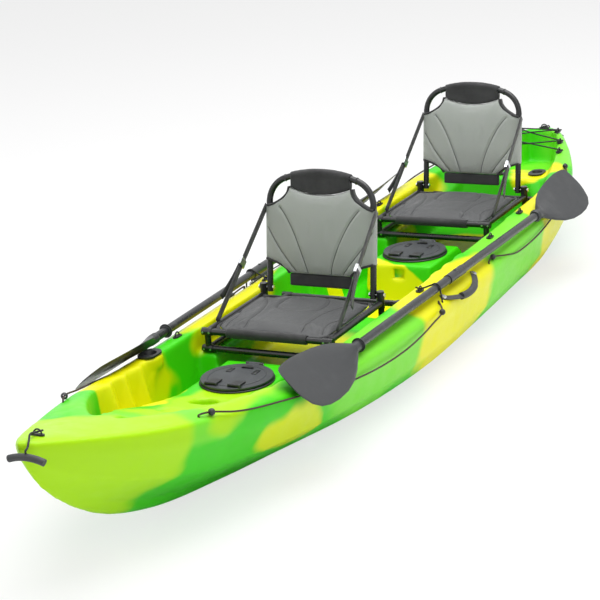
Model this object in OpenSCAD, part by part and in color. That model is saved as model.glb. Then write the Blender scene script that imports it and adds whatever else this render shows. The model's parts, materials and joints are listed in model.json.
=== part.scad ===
// Tandem sit-on-top kayak with two folding framed seats and two stowed paddles.
// Millimetres. +X is forward (bow), +Y is port, +Z is up.
// The origin is on the underside of the keel, amidships.

/* [Hull] */
// Length of the hull from the origin to the bow
bow_length = 2070; // [2000:10:2200]
// Length of the hull from the origin to the stern
stern_length = 2100; // [2050:10:2240]
// Widest beam, over the outer rims
hull_beam = 792; // [780:2:830]
// Height of the gunwale's inner edge above the keel, amidships
gunwale_z = 302; // [296:1:316]
// Thickness of the moulded wall
wall = 7; // [5:0.5:9]
// Distance between the inner edges of the two gunwales, amidships
cockpit_width = 540; // [534:2:550]
// Height of the foot well floors above the keel
floor_z = 80; // [65:1:95]
// Height of the centre consoles at the hatches
console_z = 226; // [215:1:235]
// Width of the centre consoles
console_width = 280; // [276:2:292]
// Height of the ledges that carry the seats
ledge_z = 228; // [220:1:236]
// Length of one moulded foot step
step_pitch = 110; // [100:1:115]
// Depth of one moulded foot step
step_depth = 44; // [36:1:48]
// Width of a scupper hole where it meets the deck
scupper_d = 30; // [24:1:36]

/* [Seats] */
// Place of the front seat's front bar along the hull
front_seat_x = 629; // [610:1:640]
// Place of the rear seat's front bar along the hull
rear_seat_x = -772; // [-790:1:-768]
// Diameter of the frame tubes
tube_d = 22; // [19:0.5:25]
// Width over the seat's side tubes, centre to centre
seat_width = 448; // [430:2:456]
// Length of the seat base from bar to bar, centre to centre
base_length = 590; // [560:5:610]
// Height of the seat pan's tubes above the base rails
seat_rise = 59; // [56:0.5:70]
// Distance from the front bar to the pivots of the back
pan_length = 418; // [400:2:430]
// Height of the back's pivots above the seat pan's tubes
pivot_rise = 28; // [26:1:36]
// Height of the back, from its pivots to the middle of its top tube
back_height = 408; // [380:2:430]
// How far the back leans from upright
back_lean = 9; // [4:0.5:14]
// Thickness of the seat cushion at its crown
cushion_t = 32; // [24:1:36]
// Width of the webbing straps
strap_w = 25; // [20:1:32]

/* [Hatches] */
// Place of the front hatch along the hull
front_hatch_x = 852; // [846:1:866]
// Place of the rear hatch along the hull
rear_hatch_x = -596; // [-600:1:-586]
// Outer diameter of the hatch rim
hatch_d = 246; // [230:2:252]
// Clear opening of the hatch
hatch_bore_d = 200; // [180:2:204]
// Thickness of the hatch lid
lid_t = 7; // [5:0.5:9]
// Distance between the two latches of a hatch
latch_gap = 84; // [76:2:96]

/* [Paddles] */
// Length of a paddle, tip to tip
paddle_length = 2470; // [2420:10:2500]
// Diameter of the paddle shaft
shaft_d = 30; // [27:0.5:33]
// Distance between the two drip rings
ring_span = 1550; // [1520:10:1560]
// Outer diameter of a drip ring
ring_d = 48; // [42:1:50]
// Width of a blade
blade_w = 190; // [170:2:200]
// Tilt of the port paddle's blades from flat
port_tilt = 45; // [40:1:50]
// Tilt of the starboard paddle's blades from flat
starboard_tilt = 38; // [34:1:42]

/* [Fittings] */
// Bore of the flush rod holders
rod_bore_d = 44; // [40:0.5:46]
// Lean of the rod holders from upright
rod_lean = 25; // [15:1:30]
// Diameter of the shock cords
cord_d = 6; // [5:0.5:7]
// Diameter of the stopper balls on the shock cords
ball_d = 22; // [18:1:26]
// Diameter of the side handles' grips
grip_d = 26; // [22:1:30]
// Distance between the two anchors of a side handle
handle_span = 280; // [260:5:300]
// Length of the bow and stern grips
toggle_length = 116; // [90:2:130]

/* [Hidden] */

$fn = 48;
// Gap between pieces that touch, and around pins that turn
seat_gap = 0.3;
pin_gap = 0.08;
tube_r = tube_d / 2;
// Sockets that join the seat tubes
joint_t = 2.5;
joint_r = tube_r + joint_t;

// Hull lines

// Lengths and widths that the hull's curves are drawn for
half_beam = hull_beam / 2;
table_half_beam = 396;
table_gunwale_z = 302;
table_cockpit_half = 270;
cockpit_end_x = 1400;

// Stations keep their place in the cockpit, and the two ends stretch with the hull's length
function stretch(x, length, table) = cockpit_end_x
    + (x - cockpit_end_x) * (length - cockpit_end_x) / (table - cockpit_end_x);
function end_x(x) = x > cockpit_end_x ? stretch(x, bow_length, bow_table)
    : x < -cockpit_end_x ? -stretch(-x, stern_length, stern_table) : x;

// Smooth curve through [x, value] pairs
function span_of(x, t, i = 0) = i >= len(t) - 2 || x < t[i + 1][0] ? i : span_of(x, t, i + 1);
function slope_at(t, i) = i == 0 ? (t[1][1] - t[0][1]) / (t[1][0] - t[0][0])
    : i == len(t) - 1 ? (t[i][1] - t[i - 1][1]) / (t[i][0] - t[i - 1][0])
    : (t[i + 1][1] - t[i - 1][1]) / (t[i + 1][0] - t[i - 1][0]);
function hermite(u, p, q, m, n) = (2 * u ^ 3 - 3 * u ^ 2 + 1) * p + (u ^ 3 - 2 * u ^ 2 + u) * m
    + (3 * u ^ 2 - 2 * u ^ 3) * q + (u ^ 3 - u ^ 2) * n;
function curve(x, t) = let (i = span_of(x, t), w = t[i + 1][0] - t[i][0], u = (x - t[i][0]) / w)
    hermite(u, t[i][1], t[i + 1][1], slope_at(t, i) * w, slope_at(t, i + 1) * w);

// Half breadth of the outer rim
RIM_Y = [[-2100, 18], [-2075, 58], [-2000, 106], [-1900, 156], [-1750, 226], [-1550, 300], [-1300, 350],
    [-1000, 378], [-600, 392], [0, 396], [400, 390], [700, 375], [1000, 347], [1200, 320], [1400, 281],
    [1600, 225], [1800, 148], [1900, 104], [1980, 66], [2030, 38], [2060, 16], [2070, 5]];
// Height of the outer rim
RIM_Z = [[-2100, 352], [-1900, 346], [-1600, 325], [-1200, 285], [-800, 258], [-300, 248], [200, 248],
    [600, 256], [800, 267], [1000, 285], [1200, 309], [1400, 338], [1600, 373], [1800, 414], [1900, 438],
    [2000, 461], [2070, 474]];
// Underside of the keel
KEEL_Z = [[-2100, 300], [-2075, 225], [-2000, 130], [-1850, 62], [-1600, 18], [-1300, 0], [-800, -1],
    [800, -1], [1150, 1], [1400, 26], [1600, 78], [1750, 140], [1880, 222], [1970, 296], [2025, 360],
    [2060, 424], [2070, 456]];
// Half breadth at the turn of the bilge
BILGE_Y = [[-2100, 8], [-2075, 26], [-2000, 60], [-1800, 142], [-1600, 210], [-1200, 282], [-800, 300],
    [-400, 316], [0, 328], [300, 312], [600, 272], [900, 198], [1200, 108], [1400, 72], [1600, 46],
    [1800, 27], [1950, 14], [2040, 6], [2070, 2]];
// Inner edge of the gunwale: half breadth and height
CREST_Y = [[-2100, 2], [-2060, 30], [-2000, 70], [-1850, 132], [-1700, 176], [-1500, 226], [-1300, 258],
    [-1000, 266], [-600, 270], [0, 270], [700, 268], [1000, 264], [1140, 252], [1250, 236], [1380, 206],
    [1450, 176], [1520, 138], [1580, 96], [1640, 46], [1680, 10], [1760, 2], [2070, 2]];
CREST_Z = [[-2100, 364], [-1980, 370], [-1700, 352], [-1500, 330], [-1300, 316], [-950, 310], [-600, 302],
    [0, 302], [700, 302], [1000, 313], [1250, 341], [1400, 364], [1520, 382], [1650, 400], [1800, 428],
    [1975, 467], [2070, 484]];

// Where the curves end, at the bow and at the stern
bow_table = RIM_Y[len(RIM_Y) - 1][0];
stern_table = -RIM_Y[0][0];

// Moulded foot steps: rounded lobes that swell from the wall and bring the gunwale's inner edge in a little
step_count = 3;
rear_steps_x = -420;
front_steps_x = 1000;
crest_share = 0.3;
// One lobe: share of its length, and share of its depth
STEP = [[0, 0], [0.14, 0.72], [0.36, 1], [1, 0]];
function step_in(x, first) = let (u = (x - first) / step_pitch)
    u <= 0 || u >= step_count ? 0 : step_depth * lookup(u - floor(u), STEP);
function steps_in(x) = step_in(x, rear_steps_x) + step_in(x, front_steps_x);

function rim_y(x) = curve(x, RIM_Y) * half_beam / table_half_beam;
function rim_z(x) = curve(x, RIM_Z) + (gunwale_z - table_gunwale_z);
function keel_z(x) = curve(x, KEEL_Z);
function bilge_y(x) = curve(x, BILGE_Y) * half_beam / table_half_beam;
function crest_y(x) = max(2, curve(x, CREST_Y) * cockpit_width / 2 / table_cockpit_half
    - crest_share * steps_in(x));
function crest_z(x) = curve(x, CREST_Z) + (gunwale_z - table_gunwale_z);

// Deck between the gunwales, from stern to bow
pan_z = ledge_z - 96;
tank_z = ledge_z + 4;
bridge_z = ledge_z + 72;
open_deck_z = 999;
draft_x = 30;
tank_rear_x = -1990;
tank_front_x = -1640;
bridge_front_x = -1450;
bar_margin = 1.5;
rear_console_front_x = -440;
front_console_front_x = 1010;
well_tip_x = 1680;
pan_edge_y = 190;
function seat_zone(x) = [x - base_length - joint_r - bar_margin, x + joint_r + bar_margin];
rear_zone = seat_zone(rear_seat_x);
front_zone = seat_zone(front_seat_x);

// Height of the well floors beside the middle strip
FLOOR_Z = [[tank_rear_x - draft_x, open_deck_z], [tank_rear_x, tank_z], [tank_front_x, tank_z],
    [tank_front_x + draft_x, bridge_z], [bridge_front_x, bridge_z], [rear_zone[0], ledge_z],
    [rear_zone[1], ledge_z], [rear_zone[1] + draft_x, floor_z], [front_zone[0] - draft_x, floor_z],
    [front_zone[0], ledge_z], [front_zone[1], ledge_z], [front_zone[1] + draft_x, floor_z],
    [820, floor_z], [950, floor_z + 25], [1250, floor_z + 85], [1400, floor_z + 118], [1520, 250],
    [1600, 310], [well_tip_x, open_deck_z]];
// Height of the middle strip: seat pans, consoles and the ridge that climbs to the bow
MIDDLE_Z = [[tank_rear_x - draft_x, open_deck_z], [tank_rear_x, tank_z], [tank_front_x, tank_z],
    [tank_front_x + draft_x, bridge_z], [bridge_front_x, bridge_z], [rear_zone[0], pan_z],
    [rear_zone[1], pan_z], [rear_zone[1] + draft_x, console_z], [rear_console_front_x, console_z],
    [rear_console_front_x + draft_x, floor_z], [front_zone[0] - draft_x, floor_z], [front_zone[0], pan_z],
    [front_zone[1], pan_z], [front_zone[1] + draft_x, console_z], [front_console_front_x, console_z],
    [1120, console_z + 20], [1280, console_z + 56], [1450, 332], [1580, 378], [well_tip_x, open_deck_z]];
// Half breadth of the middle strip's foot
STRIP_Y = [[bridge_front_x, console_width / 2], [rear_zone[0], pan_edge_y], [rear_zone[1], pan_edge_y],
    [rear_zone[1] + draft_x, console_width / 2], [front_zone[0] - draft_x, console_width / 2],
    [front_zone[0], pan_edge_y], [front_zone[1], pan_edge_y], [front_zone[1] + draft_x, console_width / 2]];
// How far the foot of the well wall stands in from the gunwale's inner edge
well_draft = 26;
ledge_draft = 6;
WALL_IN = [[bridge_front_x, well_draft], [rear_zone[0], ledge_draft], [rear_zone[1], ledge_draft],
    [rear_zone[1] + draft_x, well_draft], [front_zone[0] - draft_x, well_draft], [front_zone[0], ledge_draft],
    [front_zone[1], ledge_draft], [front_zone[1] + draft_x, well_draft]];

function floor_at(x) = min(crest_z(x), lookup(x, FLOOR_Z));
function middle_at(x) = min(crest_z(x), lookup(x, MIDDLE_Z));
function wall_foot_y(x) = max(1.5, crest_y(x) - min(lookup(x, WALL_IN), crest_y(x) * 0.3)
    - (1 - crest_share) * steps_in(x));
function strip_foot_y(x) = min(lookup(x, STRIP_Y), wall_foot_y(x) * 0.8);
function strip_top_y(x) = strip_foot_y(x) - min(10, strip_foot_y(x) * 0.2);

// Port half of one section, from the keel up the outside and over the deck to the middle
function half_section(x) = let (k = keel_z(x), b = bilge_y(x), r = rim_y(x), z = rim_z(x), h = z - k,
        c = crest_y(x), t = crest_z(x))
    [[0, k], [0.35 * b, k + 0.012 * h], [0.7 * b, k + 0.05 * h], [b, k + 0.16 * h],
    [b + 0.60 * (r - b), k + 0.42 * h], [b + 0.67 * (r - b), k + 0.45 * h], [r - 0.015 * r, k + 0.80 * h],
    [r, k + 0.85 * h], [r, z], [r - 0.08 * (r - c), z + 0.3 * (t - z)],
    [c + 0.42 * (r - c), t - 0.1 * (t - z)], [c, t],
    [wall_foot_y(x), floor_at(x)], [strip_foot_y(x), floor_at(x)], [strip_top_y(x), middle_at(x)],
    [0, middle_at(x)]];
function whole_ring(x, p) = let (n = len(p))
    [for (i = [0 : n - 1]) [x, p[i][0], p[i][1]], for (i = [n - 2 : -1 : 1]) [x, -p[i][0], p[i][1]]];
RIM_POINT = 8;

// Height of the deck at a place, read across the section
function deck_z(x, y) = let (p = half_section(x), a = abs(y))
    [for (i = [RIM_POINT : len(p) - 2]) if (a <= p[i][0] && a >= p[i + 1][0])
    p[i + 1][1] + (a - p[i + 1][0]) * (p[i][1] - p[i + 1][1]) / max(0.001, p[i][0] - p[i + 1][0])][0];

// Hollow inside the hull: the section drawn in by the wall, low where a pan meets a console
function nearby(x, reach) = [for (d = [-1, -0.5, 0, 0.5, 1]) x + d * reach];
function is_pan(x) = middle_at(x) < floor_at(x) - 1;
pan_reach = 1.5 * draft_x;
function pans_near(x) = len([for (a = nearby(x, pan_reach)) if (is_pan(a)) a]);
function turns_to_pan(x) = pans_near(x) > 0 && pans_near(x) < 5;
function low_deck(x) = min([for (a = nearby(x, pan_reach)) min(floor_at(a), middle_at(a))]);
function low_floor(x) = turns_to_pan(x) ? low_deck(x) : min([for (a = nearby(x, 2 * wall)) floor_at(a)]);
function low_middle(x) = turns_to_pan(x) ? low_deck(x) : min([for (a = nearby(x, 2 * wall)) middle_at(a)]);
function half_hollow(x) = let (p = half_section(x), w = wall, f = low_floor(x) - w, m = low_middle(x) - w,
        side = is_pan(x) ? w : -w, lobe = steps_in(x))
    [[0, p[0][1] + w], [p[2][0] - w, p[2][1] + w], [p[3][0] - w, p[3][1] + w],
    [p[4][0] - 1.5 * w, p[4][1] + w],
    [p[7][0] - 2.2 * w, p[7][1]], [p[9][0] - 2.2 * w, p[8][1] - w],
    [p[11][0] + crest_share * lobe + 2 * w, p[8][1] - w],
    [min(p[12][0] + lobe + 2 * w, p[4][0] - 1.6 * w), f],
    [p[13][0] + side, f], [p[14][0] + 1.5 * side, m], [0, m]];
hollow_rear_x = -1860;
hollow_front_x = 1440;
hollow_step = 260;

// Stations: every change of shape in order, with even steps between
station_step = 110;
function sorted(v) = len(v) < 2 ? v : let (p = v[floor(len(v) / 2)])
    concat(sorted([for (a = v) if (a < p) a]), [p], sorted([for (a = v) if (a > p) a]));
function places(table) = [for (p = table) p[0]];
function step_breaks(first) = [for (i = [0 : step_count - 1], s = places(STEP)) if (s < 1)
    first + (i + s) * step_pitch, first + step_count * step_pitch];
DECK_BREAKS = concat(places(FLOOR_Z), places(MIDDLE_Z));
// Closer stations towards the two tips
STERN_BREAKS = [for (d = [0, 10, 25, 50]) d - stern_table];
BOW_BREAKS = [for (d = [0, 15, 40, 80, 140, 220, 320, 430, 510, 620]) bow_table - d];
BREAKS = sorted(concat(DECK_BREAKS, step_breaks(rear_steps_x), step_breaks(front_steps_x),
    STERN_BREAKS, BOW_BREAKS));
function pan_turn(d) = d * 1.6 * pan_reach;
PAN_BREAKS = [for (z = [rear_zone, front_zone], d = [-1, 1])
    each [z[0] + pan_turn(d) - (d < 0 ? draft_x : 0), z[1] + pan_turn(d) + (d > 0 ? draft_x : 0)]];
HOLLOW_BREAKS = sorted([for (x = concat(DECK_BREAKS, PAN_BREAKS, [hollow_rear_x, hollow_front_x]))
    if (x >= hollow_rear_x && x <= hollow_front_x) x]);
function evenly(breaks, step) = [for (i = [0 : len(breaks) - 2], n = ceil((breaks[i + 1] - breaks[i]) / step))
    for (j = [0 : n - 1]) breaks[i] + (breaks[i + 1] - breaks[i]) * j / n, breaks[len(breaks) - 1]];

// Closed skin over a list of rings, each with as many points; a paired end joins front points to back points
function end_cap(n, paired) = paired ? [for (j = [0 : n / 2 - 2]) each
    [[j, j + 1, n - 2 - j], [j, n - 2 - j, n - 1 - j]]] : [[for (j = [0 : n - 1]) j]];
function turned(face, shift) = [for (i = [len(face) - 1 : -1 : 0]) face[i] + shift];
module skin(rings, paired = false) {
    n = len(rings[0]);
    m = len(rings);
    sides = [for (i = [0 : m - 2], j = [0 : n - 1]) let (a = i * n + j, b = i * n + (j + 1) % n)
        each [[b, a, a + n], [b + n, b, a + n]]];
    cap = end_cap(n, paired);
    caps = concat(cap, [for (face = cap) turned(face, (m - 1) * n)]);
    polyhedron([for (r = rings) each r], concat(sides, caps), convexity = 10);
}

// Shapes that several pieces share

// Straight round bar between two points
module strut(a, b, r) {
    d = b - a;
    l = norm(d);
    translate(a) rotate([0, acos(d.z / l), atan2(d.y, d.x)]) cylinder(h = l, r = r);
}

// Plate with round ends, long way along X, standing on z = 0
module stadium(l, w, h) {
    translate([-(l - w) / 2, -w / 2, 0]) cube([l - w, w, h]);
    for (s = [-1, 1]) translate([s * (l - w) / 2, 0, 0]) cylinder(d = w, h = h);
}

// The same outline as a cutter for the moulded hull
module oval(l, w, h) {
    hull() for (s = [-1, 1]) translate([s * (l - w) / 2, 0, 0]) cylinder(d = w, h = h, $fn = 16);
}

// Smooth route through points, with so many rings, and the round cord along it
function route_at(p, u) = let (n = len(p) - 1, i = min(n - 1, floor(u * n)), t = u * n - i,
        a = p[max(0, i - 1)], b = p[i], c = p[i + 1], d = p[min(n, i + 2)])
    0.5 * (2 * b + (c - a) * t + (2 * a - 5 * b + 4 * c - d) * t ^ 2 + (3 * b - a - 3 * c + d) * t ^ 3);
function unit(v) = v / norm(v);
module cord(points, side, rings) {
    sides = 8;
    r = cord_d / 2;
    path = [for (i = [0 : rings - 1]) route_at(points, i / (rings - 1))];
    skin([for (i = [0 : rings - 1]) let (t = unit(path[min(rings - 1, i + 1)] - path[max(0, i - 1)]),
        n = unit(cross(t, side)), m = cross(t, n))
        [for (j = [0 : sides - 1]) path[i] + r * (cos(j * 360 / sides) * n + sin(j * 360 / sides) * m)]]);
}

// Both sides of the hull
module both_sides() {
    children();
    mirror([0, 1, 0]) children();
}

// Fittings on the deck

// Small eyes on the gunwales, and pad eyes round the tank well and at both ends
GUNWALE_EYES_X = [702, 50, -619, -940];
TANK_EYES_X = [-1985, -1834, -1715];
END_EYES_X = [1975, -2052];
eye_base_l = 44;
eye_base_w = 20;
eye_base_t = 4.5;
eye_ring_r = 13;
eye_wire_r = 2.5;
eye_lift = 0.35;
tank_eye_lift = 0.9;
eye_hole_gap = 2;
eye_inset = 30;
slope_step = 20;
function eye_y(x) = crest_y(x) + eye_inset;
function tank_eye_y(x) = crest_y(x) + 0.21 * (rim_y(x) - crest_y(x));
// Slope of the deck outward and forward at a place beside the gunwale's inner edge
function deck_roll(x, y) = let (p = half_section(x))
    sign(y) * atan2(p[RIM_POINT + 3][1] - p[RIM_POINT + 2][1], p[RIM_POINT + 2][0] - p[RIM_POINT + 3][0]);
function deck_pitch(x) = atan2(crest_z(x + slope_step) - crest_z(x - slope_step),
    end_x(x + slope_step) - end_x(x - slope_step));
function eye_place(x, y) = [end_x(x), y, deck_z(x, y) + (x < tank_front_x ? tank_eye_lift : eye_lift)];
// Middle of an eye's opening, for the cord
eye_hole_h = eye_base_t + cord_d / 2 + eye_hole_gap;
function eye_hole(x, y) = let (a = deck_roll(x, y), b = deck_pitch(x), h = eye_hole_h)
    eye_place(x, y) + h * [-sin(b), sin(a), cos(a) * cos(b)];

module pad_eye() {
    stadium(eye_base_l, eye_base_w, eye_base_t);
    translate([0, 0, eye_base_t - 0.5]) rotate([90, 0, 0])
        rotate_extrude(angle = 180) translate([eye_ring_r, 0]) circle(eye_wire_r);
}
module at_eye(x, y) {
    translate(eye_place(x, y)) rotate([-deck_roll(x, y), -deck_pitch(x), 0]) children();
}
// Every eye's place, with the turn of its base
module at_gunwale_eyes() {
    for (x = GUNWALE_EYES_X, s = [-1, 1]) at_eye(x, s * eye_y(x)) children();
}
module at_pad_eyes() {
    for (x = TANK_EYES_X, s = [-1, 1]) at_eye(x, s * tank_eye_y(x)) children();
    for (x = END_EYES_X) translate(eye_place(x, 0)) rotate([0, -deck_pitch(x), 0]) rotate(90) children();
}
module gunwale_eyes() {
    color("#202224") at_gunwale_eyes() pad_eye();
}
module pad_eyes() {
    color("#202224") at_pad_eyes() pad_eye();
}

// Flush rod holders: an oval flange on a leaning tube
ROD_PLACES = [[915, 280], [-1540, 150]];
rod_depth = 125;
rod_tube_t = 2.5;
rod_tube_r = rod_bore_d / 2 + rod_tube_t;
rod_flange_l = rod_bore_d + 52;
rod_flange_w = rod_bore_d + 18;
rod_flange_t = 6;
rod_pad_rise = 3;
rod_pad_rim = 4;
function rod_seat_z(p) = (p[0] > 0 ? crest_z(p[0]) : bridge_z) + rod_pad_rise;
module at_rods() {
    for (p = ROD_PLACES, s = [-1, 1]) translate([end_x(p[0]), s * p[1], rod_seat_z(p)]) children();
}
module rod_axis() {
    rotate([0, -rod_lean, 0]) children();
}
module rod_holder() {
    difference() {
        union() {
            stadium(rod_flange_l, rod_flange_w, rod_flange_t);
            intersection() {
                rod_axis() translate([0, 0, -rod_depth]) cylinder(r = rod_tube_r, h = 2 * rod_depth);
                translate([-rod_depth, -rod_depth, -2 * rod_depth])
                    cube([2 * rod_depth, 2 * rod_depth, 2 * rod_depth + rod_flange_t]);
            }
        }
        rod_axis() translate([0, 0, -rod_depth - 1]) cylinder(d = rod_bore_d, h = 2 * rod_depth);
    }
}
module rod_holders() {
    color("#26282a") at_rods() translate([0, 0, seat_gap]) rod_holder();
}

// Drain plug on the bridge deck behind the rear seat
drain_x = -1510;
drain_d = 24;
drain_head_d = 38;
drain_head_t = 7;
drain_depth = 14;
module drain_plug() {
    color("#26282a") translate([end_x(drain_x), 0, bridge_z + seat_gap]) {
        difference() {
            cylinder(d = drain_head_d, h = drain_head_t);
            translate([-drain_head_d / 2, -2, drain_head_t - 2.5]) cube([drain_head_d, 4, 3]);
        }
        translate([0, 0, -drain_depth]) cylinder(d = drain_d, h = drain_depth + 1);
    }
}

// Hull

// Recesses moulded in the front console: a drinks holder and a shallow tray
cup_x = 1072;
cup_l = 96;
cup_w = 84;
cup_depth = 55;
tray_x = 1270;
tray_l = 90;
tray_w = 70;
tray_depth = 14;
niche_w = 44;
niche_h = 36;
niche_depth = 12;
niche_z = console_z - 52;
// Scuppers drain the foot wells, the seat pans and the tank well through the bottom
SCUPPERS = [[770, 200], [-60, 190], [330, 120], [-1070, 120], [-1800, 70]];
scupper_wall = 5;
scupper_taper = 0.7;
hatch_neck_t = 4;
hatch_cut = 70;
hatch_hole_gap = 0.5;
rod_hole_gap = 0.4;
rod_pad_h = 45;
keel_cut = 20;

// The space inside, less the bosses that stand in it
module hull_space() {
    difference() {
        skin([for (x = evenly(HOLLOW_BREAKS, hollow_step)) whole_ring(end_x(x), half_hollow(x))]);
        for (p = SCUPPERS) both_sides() translate([p[0], p[1], -1])
            cylinder(d = scupper_d + 2 * scupper_wall, h = ledge_z, $fn = 12);
        translate([cup_x, 0, middle_at(cup_x) - cup_depth - wall])
            oval(cup_l + 2 * wall, cup_w + 2 * wall, cup_depth + wall);
        translate([tray_x, 0, middle_at(tray_x) - tray_depth - wall])
            oval(tray_l + 2 * wall, tray_w + 2 * wall, tray_depth + wall);
        translate([rear_console_front_x - niche_depth - wall, -niche_w / 2 - wall, niche_z - wall])
            cube([niche_depth + draft_x, niche_w + 2 * wall, niche_h + 2 * wall]);
    }
}
module scupper_hole(p) {
    top = deck_z(p[0], p[1]) + 1;
    translate([p[0], p[1], -1])
        cylinder(d1 = scupper_taper * scupper_d, d2 = scupper_d, h = top + 1, $fn = 12);
}
module cord_hole() {
    cylinder(r = cord_d / 2 + cord_hole_gap, h = 60, $fn = 8);
}
module hull_cuts() {
    at_rods() rod_axis() translate([0, 0, -rod_depth - 12])
        cylinder(r = rod_tube_r + rod_hole_gap, h = 2 * rod_depth, $fn = 24);
    for (x = [front_hatch_x, rear_hatch_x]) translate([x, 0, console_z - hatch_cut])
        cylinder(d = hatch_bore_d + 2 * hatch_neck_t + 2 * hatch_hole_gap, h = 2 * hatch_cut, $fn = 48);
    translate([cup_x, 0, middle_at(cup_x) - cup_depth]) oval(cup_l, cup_w, 2 * cup_depth);
    translate([tray_x, 0, middle_at(tray_x) - tray_depth]) oval(tray_l, tray_w, 2 * tray_depth + 40);
    translate([rear_console_front_x - niche_depth, -niche_w / 2, niche_z])
        cube([niche_depth + draft_x, niche_w, niche_h]);
    translate([end_x(drain_x), 0, bridge_z - 40]) cylinder(d = drain_d + 2 * rod_hole_gap, h = 60, $fn = 24);
    for (p = SCUPPERS) both_sides() scupper_hole(p);
    both_sides() for (i = [0 : len(CORD_HOLES) - 1]) translate(hole_point(i, -cord_sink - 2)) cord_hole();
    both_sides() translate([loop_eye_x, loop_hole_y, deck_z(loop_eye_x, loop_hole_y) - cord_sink - 2])
        cord_hole();
    both_sides() at_handle_screws() translate([0, 0, -handle_screw_l - 1])
        cylinder(r = handle_screw_r + rod_hole_gap, h = handle_screw_l + 30, $fn = 12);
}
module hull_body() {
    color("limegreen") difference() {
        union() {
            difference() {
                skin([for (x = evenly(BREAKS, station_step)) whole_ring(end_x(x), half_section(x))]);
                hull_space();
            }
            at_rods() translate([0, 0, -rod_pad_h])
                oval(rod_flange_l + 2 * rod_pad_rim, rod_flange_w + 2 * rod_pad_rim, rod_pad_h);
        }
        translate([-stern_length, -hull_beam / 2, -keel_cut])
            cube([stern_length + bow_length, hull_beam, keel_cut]);
        hull_cuts();
    }
}

// Side carry handles: a webbing strap in an arc, screwed down at both ends, through a tube grip

handle_x = -120;
handle_edge = 12;
handle_depth = 46;
handle_strap_w = 22;
handle_strap_t = 3;
handle_lift = 1;
handle_screw_r = 3;
handle_screw_l = 14;
handle_washer_r = 10;
handle_washer_t = 4;
grip_half_angle = 15;
handle_tail = 13;
function handle_tilt() = let (p = half_section(handle_x))
    atan2(p[RIM_POINT + 2][1] - p[RIM_POINT + 1][1], p[RIM_POINT + 1][0] - p[RIM_POINT + 2][0]);
handle_y = half_section(handle_x)[RIM_POINT + 1][0] - handle_edge;
handle_arc_r = ((handle_span / 2) ^ 2 + handle_depth ^ 2) / (2 * handle_depth);
handle_half_angle = asin(handle_span / 2 / handle_arc_r);
// Local frame: X along the hull, Y out over the rim, Z square to the slope
module at_handle() {
    translate([handle_x, handle_y, deck_z(handle_x, handle_y)]) rotate([-handle_tilt(), 0, 0]) children();
}
module at_handle_screws() {
    at_handle() for (s = [-1, 1]) translate([s * handle_span / 2, 0, 0]) children();
}
// An arc of a given section between two angles either side of the middle
module handle_arc(half_angle) {
    translate([0, handle_depth - handle_arc_r, handle_lift + handle_strap_t / 2]) rotate(90 - half_angle)
        rotate_extrude(angle = 2 * half_angle) translate([handle_arc_r, 0]) children();
}
module handle_strap() {
    color("#1b1c1e") at_handle() difference() {
        handle_arc(handle_half_angle + handle_tail / handle_arc_r * 180 / PI)
            square([handle_strap_w, handle_strap_t], center = true);
        for (s = [-1, 1]) translate([s * handle_span / 2, 0, -1])
            cylinder(r = handle_screw_r + seat_gap, h = 20);
    }
}
module handle_grip() {
    color("#4a4c4e") at_handle() handle_arc(grip_half_angle) difference() {
        circle(d = grip_d);
        square([handle_strap_w + 2 * seat_gap, handle_strap_t + 2 * seat_gap], center = true);
    }
}
module handle_anchor() {
    translate([0, 0, handle_lift + handle_strap_t + seat_gap])
        cylinder(r = handle_washer_r, h = handle_washer_t);
    translate([0, 0, -handle_screw_l]) cylinder(r = handle_screw_r, h = handle_screw_l + handle_washer_t + 2);
}
module handle_anchors() {
    color("#6a6d70") both_sides() at_handle_screws() handle_anchor();
}
module port_handle_grip() { handle_grip(); }
module starboard_handle_grip() { mirror([0, 1, 0]) handle_grip(); }
module port_handle_strap() { handle_strap(); }
module starboard_handle_strap() { mirror([0, 1, 0]) handle_strap(); }

// Bow and stern carry toggles: a bent grip on a short cord from the end's pad eye

toggle_d = 21;
toggle_bend_r = 170;
toggle_lift = eye_lift + eye_base_t + cord_d / 2 + eye_hole_gap + 0.4;
// Routes beyond the end's pad eye, forward of the bow and aft of the stern: out, to port and up
BOW_WAY = [[-50, 9, 5], [-22, 22, -2], [2, 32, -12]];
BOW_GRIP = [17, 35, -34];
STERN_WAY = [[-20, 0, 6], [8, 0, 2], [19, 0, -10]];
STERN_GRIP = [24, 0, -42];
function over_deck(xs) = [for (x = xs) [end_x(x), 0, crest_z(x) + toggle_lift]];
// A place measured from the end of the hull, at the height of its deck
function off_end(x, p) = let (s = x > 0 ? 1 : -1) [end_x(x) + s * p[0], p[1], crest_z(x) + p[2]];
function grip_top(x, p) = off_end(x, p) + [0, 0, toggle_d / 2 + 2 * seat_gap];
module toggle_grip(x, place) {
    a = toggle_length / 2 / toggle_bend_r * 180 / PI;
    color("#3a3c3e") translate(off_end(x, place) - [0, 0, toggle_bend_r])
        rotate([90, 0, 90]) rotate(90 - a)
        rotate_extrude(angle = 2 * a) translate([toggle_bend_r, 0]) circle(d = toggle_d);
}
module toggle_cord(x, xs, way, place) {
    color("#1b1c1e") cord(concat(over_deck(xs), [for (p = way) off_end(x, p)],
        [grip_top(x, place) + [0, 0, 8], grip_top(x, place)]), [0, 1, 0], 15);
}
BOW_CORD_X = [1948, 1975];
STERN_CORD_X = [-2030, -2052];
module bow_toggle_grip() { toggle_grip(bow_table, BOW_GRIP); }
module stern_toggle_grip() { toggle_grip(-stern_table, STERN_GRIP); }
module bow_toggle_cord() { toggle_cord(bow_table, BOW_CORD_X, BOW_WAY, BOW_GRIP); }
module stern_toggle_cord() { toggle_cord(-stern_table, STERN_CORD_X, STERN_WAY, STERN_GRIP); }

// Shock cords along both rims, each end knotted through a hole in the deck behind a stopper ball

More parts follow.
